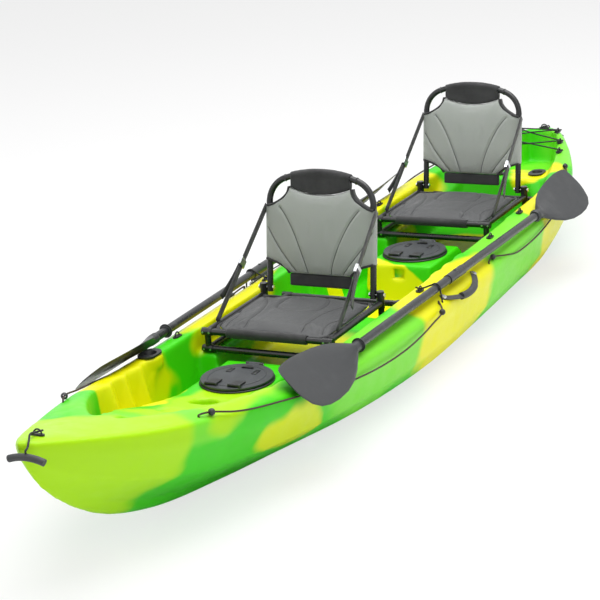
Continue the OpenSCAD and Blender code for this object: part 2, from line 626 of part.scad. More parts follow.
cord_hole_gap = 2;
cord_sink = 12;
ball_hole_gap = 2;
ball_lift = 0.55 * ball_d + 0.6;
// Deck holes of the port cords: front cord fore and aft, then rear cord fore and aft
CORD_HOLES = [[1500, 232], [76, 380], [-405, 378], [-1575, 262]];
function hole_point(i, lift) = let (h = CORD_HOLES[i]) [end_x(h[0]), h[1], deck_z(h[0], h[1]) + lift];
// Centres of the port balls, in the same order
BALLS = [[1462, 252, deck_z(1462, 252) + ball_lift], [116, 409, 252],
    [-445, 378, deck_z(-445, 378) + ball_lift], [-1535, 276, deck_z(-1535, 276) + ball_lift]];
FRONT_CORD = [hole_point(0, -cord_sink), hole_point(0, -3), hole_point(0, 7), BALLS[0],
    [1390, 288, 349], [1300, 308, 328], [1150, 334, 302], [1000, 354, 276], [850, 371, 246],
    [700, 384, 228], [560, 394, 218], [420, 401, 216],
    [300, 404, 222], [190, 406, 236],
    BALLS[1], hole_point(1, 8), hole_point(1, -3), hole_point(1, -cord_sink)];
REAR_CORD = [hole_point(2, -cord_sink), hole_point(2, -3), hole_point(2, 8), BALLS[2],
    [-540, 396, 262], [-640, 398, 243], [-800, 394, 238], [-960, 387, 244],
    [-1120, 376, 260], [-1280, 359, 282], [-1400, 338, 306],
    BALLS[3], hole_point(3, 7), hole_point(3, -3), hole_point(3, -cord_sink)];
module port_cords() {
    color("#2a211c") {
        cord(FRONT_CORD, [0, 1, 0.3], 52);
        cord(REAR_CORD, [0, 1, 0.3], 43);
    }
}
module port_bungee() { port_cords(); }
module starboard_bungee() { mirror([0, 1, 0]) port_cords(); }

// Direction of a cord where it goes through a ball
function cord_way(path, i) = unit(path[i + 1] - path[i - 1]);
module ball(place, way) {
    hole_r = cord_d / 2 + ball_hole_gap;
    translate(place) rotate([0, acos(way.z), atan2(way.y, way.x)]) rotate_extrude() difference() {
        circle(d = ball_d);
        translate([-ball_d, -ball_d]) square([ball_d + hole_r, 2 * ball_d]);
    }
}
module bungee_balls() {
    color("#1b1c1e") both_sides() {
        ball(BALLS[0], cord_way(FRONT_CORD, 3));
        ball(BALLS[1], cord_way(FRONT_CORD, 14));
        ball(BALLS[2], cord_way(REAR_CORD, 3));
        ball(BALLS[3], cord_way(REAR_CORD, 11));
    }
}

// Shock cord laced across the tank well through its six eyes
lace_x = 3.7;
lace_out = 13;
lace_cross = cord_d / 2 + 0.8;
function tank_eye(i, s) = let (x = TANK_EYES_X[i]) eye_hole(x, s * tank_eye_y(x));
// Round an eye, in on one side of its opening and out on the other
function lace_turn(i, s, d) = let (e = tank_eye(i, s))
    [e + [d * lace_x, 0, 0], e + [d * lace_x, s * lace_out * 0.6, 0], e + [0, s * lace_out, 0],
    e + [-d * lace_x, s * lace_out * 0.6, 0], e + [-d * lace_x, 0, 0]];
function cross_mid(i, j, s, d) = let (a = tank_eye(i, s), b = tank_eye(j, -s), t = a.y / (a.y - b.y))
    a + t * (b - a) + [0, 0, d * lace_cross];
TANK_LACE = concat([tank_eye(2, 1) + [0, lace_out, 0], tank_eye(2, 1)], [cross_mid(2, 1, 1, 1)],
    lace_turn(1, -1, 1), [cross_mid(1, 0, -1, 1)], lace_turn(0, 1, 1), lace_turn(0, -1, -1),
    [cross_mid(0, 1, -1, -1)], lace_turn(1, 1, -1), [cross_mid(1, 2, 1, -1)],
    [tank_eye(2, -1), tank_eye(2, -1) - [0, lace_out, 0]]);
module tank_bungee() {
    color("#1b1c1e") cord(TANK_LACE, [0, 0, 1], 2 * len(TANK_LACE) - 1);
}

// Paddles, stowed on the gunwales

paddle_x = -120;
paddle_y = half_beam - 33.5;
paddle_z = gunwale_z + 9;
starboard_lift = 3;
starboard_slide = 100;
// The front drip ring of the starboard paddle stands back from its blade
starboard_ring_back = 65;
paddle_yaw = 1.17;
function shaft_y(x) = paddle_y - (x - paddle_x) * tan(paddle_yaw);
shaft_r = shaft_d / 2;
blade_length = 450;
blade_start = paddle_length / 2 - blade_length;
socket_depth = 34;
socket_gap = 0.15;
socket_r = shaft_r + 3;
ferrule_length = 130;
ferrule_t = 2.5;
ring_width = 12;
// Blade from neck to tip: distance, half width outboard and inboard, and half thickness
BLADE = [[0, socket_r, socket_r, socket_r], [30, socket_r, socket_r, socket_r],
    [60, 0.21 * blade_w, 0.19 * blade_w, 13], [95, 0.32 * blade_w, 0.28 * blade_w, 10],
    [150, 0.44 * blade_w, 0.37 * blade_w, 7], [220, 0.52 * blade_w, 0.43 * blade_w, 5],
    [290, 0.54 * blade_w, 0.47 * blade_w, 4], [350, 0.52 * blade_w, 0.49 * blade_w, 3.5],
    [395, 0.46 * blade_w, 0.48 * blade_w, 3], [428, 0.34 * blade_w, 0.46 * blade_w, 2.5],
    [444, 0.18 * blade_w, 0.42 * blade_w, 2.2], [blade_length, 0.04 * blade_w, 0.34 * blade_w, 2]];
blade_sides = 14;
blade_scoop = 12;
function scoop_at(d) = blade_scoop * (max(0, d - 100) / (blade_length - 100)) ^ 2;
function blade_y(b, c) = c > 0 ? b[1] * c : b[2] * c;

module at_paddle() {
    translate([paddle_x, paddle_y, paddle_z]) rotate(-paddle_yaw) children();
}
// The starboard paddle lies a little higher than a mirrored port one, and slid towards the bow
module at_starboard() {
    translate([0, 0, starboard_lift]) mirror([0, 1, 0]) at_paddle()
        translate([starboard_slide, 0, 0]) children();
}
// Round bar or bore along the paddle
module along(a, b, r) {
    translate([a, 0, 0]) rotate([0, 90, 0]) cylinder(r = r, h = b - a);
}
module shaft(s) {
    color("#1c1d1f") scale([s, 1, 1])
        along(seat_gap / 2, blade_start + socket_depth - seat_gap, shaft_r);
}
module blade(s, tilt) {
    rotate([-tilt, 0, 0]) difference() {
        scale([s, 1, 1]) skin([for (b = BLADE) [for (j = [0 : blade_sides - 1])
            let (a = -j * 360 / blade_sides)
            [blade_start + b[0], blade_y(b, cos(a)), b[3] * sin(a) + scoop_at(b[0])]]]);
        scale([s, 1, 1]) along(blade_start - 1, blade_start + socket_depth, shaft_r + socket_gap);
    }
}
module blades(tilt) {
    color("#2c2e2e") for (s = [-1, 1]) blade(s, tilt);
}
module drip_rings(back) {
    color("#151617") for (s = [-1, 1]) translate([s * ring_span / 2 - (s > 0 ? back : 0), 0, 0])
        rotate([0, s * 90, 0]) rotate_extrude() polygon([[shaft_r + socket_gap, -ring_width / 2],
        [shaft_r + 4, -ring_width / 2], [ring_d / 2, ring_width / 2 - 3], [ring_d / 2, ring_width / 2],
        [shaft_r + 4, ring_width / 2 - 2], [shaft_r + socket_gap, ring_width / 2]]);
}
module ferrule() {
    color("#3a3c3e") difference() {
        union() {
            along(-ferrule_length / 2, ferrule_length / 2, shaft_r + ferrule_t);
            cylinder(r = 5, h = shaft_r + ferrule_t + 2);
        }
        along(-ferrule_length, ferrule_length, shaft_r + socket_gap);
    }
}
module port_paddle_front_shaft() { at_paddle() shaft(1); }
module port_paddle_rear_shaft() { at_paddle() shaft(-1); }
module port_paddle_ferrule() { at_paddle() ferrule(); }
module port_paddle_blades() { at_paddle() blades(port_tilt); }
module port_paddle_rings() { at_paddle() drip_rings(0); }
module starboard_paddle_front_shaft() { at_starboard() shaft(1); }
module starboard_paddle_rear_shaft() { at_starboard() shaft(-1); }
module starboard_paddle_ferrule() { at_starboard() ferrule(); }
module starboard_paddle_blades() { at_starboard() blades(starboard_tilt); }
module starboard_paddle_rings() { at_starboard() drip_rings(starboard_ring_back); }

// Paddle keepers: a cord from a gunwale eye over the shaft to a hole by the rim

loop_eye_x = GUNWALE_EYES_X[1];
loop_hole_y = 382;
loop_gap = 0.8;
loop_r = shaft_d / 2 + cord_d / 2 + loop_gap;
LOOP_ANGLES = [135, 105, 75, 45, 15, -15];
function loop_eye() = eye_hole(loop_eye_x, eye_y(loop_eye_x));
function loop_point(a, up) = [loop_eye_x, shaft_y(loop_eye_x) + loop_r * cos(a),
    paddle_z + up + loop_r * sin(a)];
function loop_route(up) = concat([loop_eye() + [0, -16, 3], loop_eye() + [0, 4, 0]],
    [for (a = LOOP_ANGLES) loop_point(a, up)],
    [for (lift = [8, -3, -cord_sink]) [loop_eye_x, loop_hole_y, deck_z(loop_eye_x, loop_hole_y) + lift]]);
module paddle_loop(up) {
    color("#1b1c1e") cord(loop_route(up), [1, 0, 0], 21);
}
module port_paddle_loop() { paddle_loop(0); }
module starboard_paddle_loop() { mirror([0, 1, 0]) paddle_loop(starboard_lift); }

// Hatches

hatch_bore_r = hatch_bore_d / 2;
hatch_r = hatch_d / 2;
hatch_neck = 24;
flange_t = 6;
seal_t = 3;
seal_w = 9;
lid_r = hatch_r - 4;
lid_bottom = flange_t + seat_gap + seal_t;
lid_top = lid_bottom + lid_t;
pin_r = 3;
pin_x = -hatch_r - 3;
pin_z = lid_bottom + 3.7;
knuckle_r = 6.5;
knuckle_w = 40;
ear_w = 10;
ear_gap = 0.5;
latch_pivot_x = lid_r - 22;
latch_pivot_z = lid_top + 6;
latch_w = 36;
latch_l = 42;
latch_t = 5;
lug_t = 4.5;
lug_l = 11;
trunnion_r = 2.5;

module at_hatch(x) {
    translate([x, 0, console_z]) children();
}
// Bar along Y about the middle
module across(x, z, w, r) {
    translate([x, w / 2, z]) rotate([90, 0, 0]) cylinder(r = r, h = w);
}
module hatch_rim(x) {
    color("#17181a") at_hatch(x) difference() {
        union() {
            rotate_extrude() polygon([[hatch_bore_r, -hatch_neck], [hatch_bore_r + hatch_neck_t, -hatch_neck],
                [hatch_bore_r + hatch_neck_t, seat_gap], [hatch_r, seat_gap], [hatch_r, flange_t - 2],
                [hatch_r - 2, flange_t], [hatch_bore_r, flange_t]]);
            for (s = [-1, 1]) translate([0, s * (knuckle_w / 2 + ear_gap + ear_w / 2), 0]) {
                translate([pin_x - knuckle_r, -ear_w / 2, seat_gap])
                    cube([2 * knuckle_r, ear_w, pin_z - seat_gap]);
                translate([pin_x, -ear_w / 2, seat_gap]) cube([2 * knuckle_r, ear_w, flange_t - 1]);
                across(pin_x, pin_z, ear_w, knuckle_r);
            }
        }
        across(pin_x, pin_z, 3 * knuckle_w, pin_r + pin_gap);
    }
}
module hatch_lid(x) {
    color("#3c3f42") at_hatch(x) difference() {
        union() {
            rotate_extrude() polygon([[0, lid_bottom], [lid_r, lid_bottom], [lid_r, lid_top - 2],
                [lid_r - 2, lid_top], [0, lid_top]]);
            across(pin_x, pin_z, knuckle_w, knuckle_r);
            translate([pin_x, -knuckle_w / 2, lid_bottom]) cube([2 * knuckle_r, knuckle_w, lid_t]);
            for (s = [-1, 1], t = [-1, 1])
                translate([latch_pivot_x, s * latch_gap / 2 + t * (latch_w / 2 + seat_gap + lug_t / 2), 0]) {
                translate([-lug_l / 2, -lug_t / 2, lid_top - 1])
                    cube([lug_l, lug_t, latch_pivot_z - lid_top + 1]);
                across(0, latch_pivot_z, lug_t, lug_l / 2);
            }
        }
        across(pin_x, pin_z, 3 * knuckle_w, pin_r + pin_gap);
        across(latch_pivot_x, latch_pivot_z, 2 * latch_gap + 4 * latch_w, trunnion_r + pin_gap);
    }
}
module hatch_seal(x) {
    color("#0f1011") at_hatch(x) translate([0, 0, flange_t + seat_gap]) difference() {
        cylinder(r = lid_r - 3, h = seal_t - 0.05);
        translate([0, 0, -1]) cylinder(r = lid_r - 3 - seal_w, h = seal_t + 2);
    }
}
module hatch_pin(x) {
    color("silver") at_hatch(x) across(pin_x, pin_z, knuckle_w + 2 * ear_gap + 2 * ear_w + 4, pin_r);
}
// Cam lever, lying on the lid and pointing aft
module latch(x, s) {
    color("#111213") at_hatch(x) translate([latch_pivot_x, s * latch_gap / 2, latch_pivot_z]) {
        across(0, 0, latch_w, latch_t);
        across(0, 0, latch_w + 2 * lug_t + 2 * seat_gap, trunnion_r);
        translate([-latch_l, -latch_w / 2, -latch_t / 2 - 2]) cube([latch_l, latch_w, latch_t]);
        across(-latch_l, -2, latch_w, latch_t / 2);
    }
}
module front_hatch_rim() { hatch_rim(front_hatch_x); }
module front_hatch_lid() { hatch_lid(front_hatch_x); }
module front_hatch_seal() { hatch_seal(front_hatch_x); }
module front_hatch_pin() { hatch_pin(front_hatch_x); }
module front_latch_port() { latch(front_hatch_x, 1); }
module front_latch_starboard() { latch(front_hatch_x, -1); }
module rear_hatch_rim() { hatch_rim(rear_hatch_x); }
module rear_hatch_lid() { hatch_lid(rear_hatch_x); }
module rear_hatch_seal() { hatch_seal(rear_hatch_x); }
module rear_hatch_pin() { hatch_pin(rear_hatch_x); }
module rear_latch_port() { latch(rear_hatch_x, 1); }
module rear_latch_starboard() { latch(rear_hatch_x, -1); }

// Seats: X is measured from the front bar, Z from the base rails

joint_l = 36;
rail_z = ledge_z + joint_r + seat_gap;
seat_half = seat_width / 2;
bar_overhang = 22;
pivot_z = seat_rise + pivot_rise;
post_top = 14;
bolt_r = 4;
bolt_head_r = 7.5;
bolt_head_t = 4;
rivet_r = 3.5;
rivet_out = 2;
rivet_in = 1.5;
rivet_pitch = 24;
leg_gap = 1.5;
back_half = seat_half - joint_r - leg_gap - tube_r;

module at_seat(x) {
    translate([x, 0, rail_z]) children();
}
// Rivet bodies on the front joints, a little larger when they cut their own holes
module rivets(gap) {
    for (s = [-1, 1], z = [0, seat_rise], d = [-0.5, 0.5])
        translate([joint_r - rivet_in - gap, s * (seat_half + d * rivet_pitch), z]) rotate([0, 90, 0])
            cylinder(r = rivet_r + gap, h = rivet_in + rivet_out + gap);
}
module seat_base(x) {
    color("#1a1b1d") at_seat(x) difference() {
        union() {
            strut([0, -seat_half - bar_overhang, 0], [0, seat_half + bar_overhang, 0], tube_r);
            strut([0, -seat_half, seat_rise], [0, seat_half, seat_rise], tube_r);
            strut([-base_length, -seat_half, 0], [-base_length, seat_half, 0], tube_r);
            for (s = [-1, 1]) translate([0, s * seat_half, 0]) {
                strut([0, 0, 0], [-base_length, 0, 0], tube_r);
                strut([0, 0, seat_rise], [-pan_length, 0, seat_rise], tube_r);
                strut([0, 0, 0], [0, 0, seat_rise], tube_r);
                strut([-pan_length, 0, 0], [-pan_length, 0, seat_rise], tube_r);
                across(0, 0, joint_l, joint_r);
                across(0, seat_rise, joint_l, joint_r);
                across(-base_length, 0, joint_l, joint_r);
                strut([-pan_length - joint_l / 2, 0, 0], [-pan_length + joint_l / 2, 0, 0], joint_r);
                strut([-pan_length, 0, seat_rise - joint_l / 2],
                    [-pan_length, 0, pivot_z + post_top], joint_r);
            }
        }
        across(-pan_length, pivot_z, 3 * seat_width, bolt_r + pin_gap);
        rivets(pin_gap);
    }
}
module seat_rivets(x) {
    color("silver") at_seat(x) {
        rivets(0);
        for (s = [-1, 1]) {
            strut([-pan_length, s * (back_half - tube_r - bolt_head_t), pivot_z],
                [-pan_length, s * (seat_half + joint_r + bolt_head_t), pivot_z], bolt_r);
            strut([-pan_length, s * (seat_half + joint_r + seat_gap), pivot_z],
                [-pan_length, s * (seat_half + joint_r + bolt_head_t), pivot_z], bolt_head_r);
            strut([-pan_length, s * (back_half - tube_r - seat_gap), pivot_z],
                [-pan_length, s * (back_half - tube_r - bolt_head_t), pivot_z], bolt_head_r);
        }
    }
}

// Seat cushion: crowned, drawn in at the sides, with stitched channels
sleeve_r = tube_r + 6;
sleeve_length = 300;
cushion_gap = 0.5;
cushion_front = -sleeve_r - cushion_gap;
cushion_rear = -pan_length + joint_r + 9;
cushion_half = seat_half - tube_r - cushion_gap;
cushion_bottom = -8;
cushion_edge = 0.45;
CUSHION_COLUMNS = 20;
CUSHION_ROWS = [0, 0.04, 0.12, 0.22, 0.34, 0.46, 0.58, 0.70, 0.82, 0.91, 0.97, 1];
// Rounded plan: how wide the cushion is at each part of its length
function plan_width(u) = 1 - 0.16 * (1 - min(1, u / 0.12)) ^ 2 - 0.12 * (1 - min(1, (1 - u) / 0.12)) ^ 2;
function end_round(u) = min(1, 0.45 + 4.5 * min(u, 1 - u));
// Two curved channels each side of the middle
channel_depth = 5;
channel_half = 0.09;
function channel(v, c) = max(0, 1 - abs(abs(v) - c) / channel_half);
function channels(u, v) = channel_depth * max(channel(v, 0.34 + 0.14 * u), channel(v, 0.72 - 0.10 * u));
function pad_top(u, v) = (1 - (1 - cushion_edge) * abs(v) ^ 4) * end_round(u) * cushion_t
    - channels(u, v) * end_round(u);
module seat_cushion(x) {
    n = CUSHION_COLUMNS;
    color("#6f7377") at_seat(x) translate([0, 0, seat_rise + cushion_bottom])
        skin([for (u = CUSHION_ROWS) let (w = cushion_half * plan_width(u),
            sx = cushion_front + u * (cushion_rear - cushion_front))
            concat([for (j = [0 : n]) let (v = 1 - 2 * j / n) [sx, v * w, pad_top(u, v)]],
            [for (v = [-0.9, -0.5, 0, 0.5, 0.9]) [sx, v * w, 3 * (1 - end_round(u))]])]);
}
module seat_sleeve(x) {
    color("#161718") at_seat(x) difference() {
        across(0, seat_rise, sleeve_length, sleeve_r);
        across(0, seat_rise, sleeve_length + 2, tube_r + seat_gap);
    }
}

// Folding back: Y across, Z up the back from the pivots, leaning aft
corner_r = 90;
top_bend = 18;
top_r = corner_r + (back_half - corner_r) / sin(top_bend);
leg_top = back_height - corner_r * cos(top_bend) - top_r * (1 - cos(top_bend));
leg_foot = -14;
top_centre_z = back_height - top_r;
module at_back(x) {
    at_seat(x) translate([-pan_length, 0, pivot_z]) rotate([0, -back_lean, 0]) children();
}
// Turns a flat arc into the plane of the back
module upright() {
    rotate([90, 0, 90]) children();
}
// Short collars close the frame where its straight and bent lengths meet
collar_r = tube_r + 0.5;
collar_half = 6;
bend_gap = 0.4;
bend_y = back_half - corner_r + corner_r * sin(top_bend);
bend_z = leg_top + corner_r * cos(top_bend);
function bend_angle(r) = bend_gap / r * 180 / PI;
module back_frame(x) {
    color("#1a1b1d") at_back(x) difference() {
        union() {
            for (s = [-1, 1]) {
                strut([0, s * back_half, leg_foot], [0, s * back_half, leg_top - bend_gap], tube_r);
                strut([0, s * back_half, leg_top - collar_half],
                    [0, s * back_half, leg_top + collar_half], collar_r);
                translate([0, s * (back_half - corner_r), leg_top]) upright()
                    rotate(s > 0 ? 0 : 90 + top_bend + bend_angle(corner_r))
                    rotate_extrude(angle = 90 - top_bend - bend_angle(corner_r))
                    translate([corner_r, 0]) circle(tube_r);
                translate([0, s * bend_y, bend_z]) rotate([-s * (90 - top_bend), 0, 0])
                    translate([0, 0, -collar_half]) cylinder(r = collar_r, h = 2 * collar_half);
            }
            top_bar(top_bend - bend_angle(top_r), tube_r);
        }
        across(0, 0, 3 * seat_width, bolt_r + pin_gap);
    }
}

// Mesh panel round the legs: height up the back and half width
PANEL = [[56, 118], [66, 124], [80, 140], [93, 168], [104, 206], [118, 209], [160, 209], [205, 209],
    [250, 209], [280, 209], [290, 204], [294, 184], [306, 160], [320, 140], [338, 125], [358, 119]];
panel_foot = PANEL[0][0];
panel_top = PANEL[len(PANEL) - 1][0];
panel_half = 209;
panel_neck = 119;
PANEL_COLUMNS = 18;
panel_edge = 14;
panel_front = 12;
panel_back = 3;
panel_dip = 25;
panel_rib = 3;
function panel_ribs(v, y) = panel_rib * max(channel(y / panel_half, 0.16 + 0.10 * (v / panel_top)),
    channel(y / panel_half, 0.40 + 0.22 * (v / panel_top) ^ 2));
// The top edge dips in the middle under the cap
function panel_z(v, y) = v - panel_dip * (v / panel_top) ^ 3 * max(0, 1 - (y / panel_neck) ^ 2);
function panel_end(v) = min(1, 0.55 + (v - panel_foot) / 60, 0.55 + (panel_top - v) / 60);
function panel_crown(y) = 1 - (y / panel_half) ^ 2;
module back_panel(x) {
    n = PANEL_COLUMNS;
    k = back_half / 198;
    color("#6f7377") at_back(x) difference() {
        skin([for (p = PANEL) let (v = p[0], w = p[1], e = panel_end(v)) concat(
            [for (j = [0 : n]) let (y = w * (1 - 2 * j / n))
                [e * (panel_edge + panel_front * panel_crown(y) - panel_ribs(v, y)), k * y, panel_z(v, y)]],
            [for (j = [n : -1 : 0]) let (y = w * (1 - 2 * j / n))
                [-e * (panel_edge - panel_back * panel_crown(y)), k * y, panel_z(v, y)]])], true);
        for (s = [-1, 1]) strut([0, s * back_half, 0], [0, s * back_half, back_height], tube_r + seat_gap);
    }
}
// Lens-shaped cap over the top tube, and the band below the panel
cap_bend = 15;
cap_r = tube_r + 5;
cap_half = top_r * sin(cap_bend);
cap_t = 2 * cap_r - 4;
cap_gap = 0.5;
cap_steps = 12;
band_half = 118;
band_foot = 12;
band_t = 18;
function top_z(y) = top_centre_z + sqrt(top_r ^ 2 - y ^ 2);
CAP_Y = [for (i = [0 : cap_steps]) cap_half * (2 * i / cap_steps - 1)];
CAP_EDGE = concat([for (y = CAP_Y) [y, panel_z(panel_top, y) + cap_gap]],
    [for (i = [cap_steps : -1 : 0]) [CAP_Y[i], top_z(CAP_Y[i])]]);
// Round bar along the bent top tube
module top_bar(bend, r) {
    translate([0, 0, top_centre_z]) upright() rotate(90 - bend) rotate_extrude(angle = 2 * bend)
        translate([top_r, 0]) circle(r);
}
module back_trim(x) {
    color("#141516") at_back(x) {
        difference() {
            union() {
                top_bar(cap_bend, cap_r);
                upright() translate([0, 0, -cap_t / 2]) linear_extrude(cap_t) polygon(CAP_EDGE);
            }
            top_bar(cap_bend + 1, tube_r + seat_gap);
        }
        translate([-band_t / 2, -band_half, band_foot])
            cube([band_t, 2 * band_half, panel_foot - seat_gap - band_foot]);
    }
}

// Side straps, from the back's legs down to the pan tubes
strap_t = 2.2;
strap_up = 288;
strap_foot_x = -70;
strap_side = strap_t / 2 + seat_gap;
STRAP_TOP = [-pan_length - strap_up * sin(back_lean), back_half + tube_r + strap_side,
    pivot_z + strap_up * cos(back_lean)];
STRAP_FOOT = [strap_foot_x, seat_half, seat_rise + tube_r + seat_gap];
strap_slope = atan2(STRAP_TOP.z - STRAP_FOOT.z, STRAP_FOOT.x - STRAP_TOP.x);
strap_half = strap_w / 2 / sin(strap_slope);
STRAP_ROWS = [0, 0.2, 0.4, 0.6, 0.8, 1];
module seat_straps(x) {
    color("#161718") at_seat(x) both_sides() skin([for (u = STRAP_ROWS)
        let (p = STRAP_FOOT + u * (STRAP_TOP - STRAP_FOOT))
        [for (c = [[1, -1], [1, 1], [-1, 1], [-1, -1]]) p + [c[0] * strap_half, c[1] * strap_t / 2, 0]]]);
}
buckle_at = 0.5;
buckle_l = 30;
buckle_t = 9;
buckle_rim = 5;
buckle_slot = 4.4;
module seat_buckles(x) {
    color("silver") at_seat(x) both_sides()
        translate(STRAP_FOOT + buckle_at * (STRAP_TOP - STRAP_FOOT)) rotate([0, strap_slope, 0])
        difference() {
        cube([buckle_l, buckle_t, strap_w + 2 * buckle_rim], center = true);
        cube([buckle_l + 2, buckle_slot, strap_w + 1], center = true);
    }
}
module front_seat_base() { seat_base(front_seat_x); }
module front_seat_cushion() { seat_cushion(front_seat_x); }
module front_seat_sleeve() { seat_sleeve(front_seat_x); }
module front_seat_straps() { seat_straps(front_seat_x); }
module front_seat_buckles() { seat_buckles(front_seat_x); }
module front_seat_rivets() { seat_rivets(front_seat_x); }
module front_back_frame() { back_frame(front_seat_x); }
module front_back_panel() { back_panel(front_seat_x); }
module front_back_trim() { back_trim(front_seat_x); }
module rear_seat_base() { seat_base(rear_seat_x); }
module rear_seat_cushion() { seat_cushion(rear_seat_x); }
module rear_seat_sleeve() { seat_sleeve(rear_seat_x); }
module rear_seat_straps() { seat_straps(rear_seat_x); }
module rear_seat_buckles() { seat_buckles(rear_seat_x); }
module rear_seat_rivets() { seat_rivets(rear_seat_x); }
module rear_back_frame() { back_frame(rear_seat_x); }
module rear_back_panel() { back_panel(rear_seat_x); }
module rear_back_trim() { back_trim(rear_seat_x); }

hull_body();
drain_plug();
rod_holders();
gunwale_eyes();
pad_eyes();
tank_bungee();
bungee_balls();
port_bungee();
starboard_bungee();
port_paddle_loop();
starboard_paddle_loop();
handle_anchors();
port_handle_grip();
starboard_handle_grip();
port_handle_strap();
starboard_handle_strap();
bow_toggle_grip();
bow_toggle_cord();
stern_toggle_grip();
stern_toggle_cord();
front_hatch_rim();
front_hatch_lid();
front_hatch_seal();
front_hatch_pin();
front_latch_port();
front_latch_starboard();
rear_hatch_rim();
rear_hatch_lid();
rear_hatch_seal();
rear_hatch_pin();
rear_latch_port();
rear_latch_starboard();
front_seat_base();
front_seat_cushion();
front_seat_sleeve();
front_seat_straps();
front_seat_buckles();
front_seat_rivets();
front_back_frame();
front_back_panel();
front_back_trim();
rear_seat_base();
rear_seat_cushion();
rear_seat_sleeve();
rear_seat_straps();
rear_seat_buckles();
rear_seat_rivets();
rear_back_frame();
rear_back_panel();
rear_back_trim();
port_paddle_front_shaft();
port_paddle_rear_shaft();
port_paddle_ferrule();
port_paddle_blades();
port_paddle_rings();
starboard_paddle_front_shaft();
starboard_paddle_rear_shaft();
starboard_paddle_ferrule();
starboard_paddle_blades();
starboard_paddle_rings();
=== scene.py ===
"""Studio scene of a tandem sit-on-top kayak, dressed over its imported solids."""

import json
import logging
import math
from collections.abc import Callable
from dataclasses import dataclass, field
from enum import Enum
from fnmatch import fnmatch

import bmesh
import bpy
from mathutils import Matrix, Vector
from mathutils.bvhtree import BVHTree
from mathutils.kdtree import KDTree

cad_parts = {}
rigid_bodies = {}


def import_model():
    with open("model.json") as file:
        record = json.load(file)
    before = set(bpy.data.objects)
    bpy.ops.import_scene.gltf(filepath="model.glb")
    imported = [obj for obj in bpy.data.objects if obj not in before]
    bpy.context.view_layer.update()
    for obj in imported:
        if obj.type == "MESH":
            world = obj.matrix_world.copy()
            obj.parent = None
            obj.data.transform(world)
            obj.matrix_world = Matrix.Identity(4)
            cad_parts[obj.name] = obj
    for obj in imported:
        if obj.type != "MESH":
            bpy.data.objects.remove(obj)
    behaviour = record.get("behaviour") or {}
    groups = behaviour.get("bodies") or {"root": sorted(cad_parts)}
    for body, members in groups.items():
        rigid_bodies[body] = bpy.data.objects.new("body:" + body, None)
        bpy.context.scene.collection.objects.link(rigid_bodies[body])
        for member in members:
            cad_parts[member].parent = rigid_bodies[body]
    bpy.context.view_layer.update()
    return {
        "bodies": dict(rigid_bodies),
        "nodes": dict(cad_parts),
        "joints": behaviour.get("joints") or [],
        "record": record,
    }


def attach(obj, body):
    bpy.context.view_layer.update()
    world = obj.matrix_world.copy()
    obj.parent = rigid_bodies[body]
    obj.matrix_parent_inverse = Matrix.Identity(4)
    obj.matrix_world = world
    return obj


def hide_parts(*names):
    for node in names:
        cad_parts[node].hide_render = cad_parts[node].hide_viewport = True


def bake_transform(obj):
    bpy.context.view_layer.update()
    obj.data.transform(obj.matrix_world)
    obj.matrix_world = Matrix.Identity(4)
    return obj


LOG = logging.getLogger("kayak")
Colour = tuple[float, float, float, float]
Point = tuple[float, float, float]
Plan = list[tuple[float, float]]
Screen = tuple[int, int, int]
Piece = bpy.types.Object
Socket = bpy.types.NodeSocket
DOWN = Vector((0, 0, -1))
ROUND = 48


class Side(Enum):
    """The two sides of the boat, by the sign of Y."""

    PORT = 1
    STARBOARD = -1

    @property
    def word(self) -> str:
        """Name of the side as the solids spell it."""
        return self.name.lower()


class Slot(Enum):
    """Material slots of the record, passed along with new pieces."""

    HULL = "hull_plastic"
    GREY = "grey_plastic"
    CORD = "cord"
    METAL = "bright_metal"
    CLOTH = "grey_fabric"
    BINDING = "black_fabric"


def paint(red: int, green: int, blue: int) -> Colour:
    """Turn a screen colour into the linear colour that shaders use.

    Args:
        red: Red from 0 to 255.
        green: Green from 0 to 255.
        blue: Blue from 0 to 255.

    Returns:
        Linear red, green, blue and a full alpha.
    """
    parts = [value / 255 for value in (red, green, blue)]
    linear = [p / 12.92 if p <= 0.04045 else ((p + 0.055) / 1.055) ** 2.4 for p in parts]
    return (linear[0], linear[1], linear[2], 1.0)


def rounded_route(points: list[Point], steps: int = 8) -> list[Vector]:
    """Run a smooth curve through points, with even steps in each span.

    Args:
        points: Points that the route goes through.
        steps: How many pieces each span is cut into.

    Returns:
        The points of the smooth route.
    """
    knots = [Vector(p) for p in points]
    knots = [2 * knots[0] - knots[1], *knots, 2 * knots[-1] - knots[-2]]
    route = []
    for before, start, end, after in zip(knots, knots[1:], knots[2:], knots[3:]):
        for step in range(steps):
            t = step / steps
            route.append(0.5 * (2 * start + (end - before) * t
                                + (2 * before - 5 * start + 4 * end - after) * t ** 2
                                + (3 * start - before - 3 * end + after) * t ** 3))
    return [*route, knots[-2]]


def mirrored(points: list[Point], side: Side) -> list[Point]:
    """Put points given for port on the wanted side."""
    return [(x, side.value * y, z) for x, y, z in points]


def add_object(name: str, data: bpy.types.ID) -> Piece:
    """Put new data into the scene as an object at the origin.

    Args:
        name: Name of the object.
        data: Its mesh, curve, lamp or camera.

    Returns:
        The new object.
    """
    made = bpy.data.objects.new(name, data)
    bpy.context.scene.collection.objects.link(made)
    return made


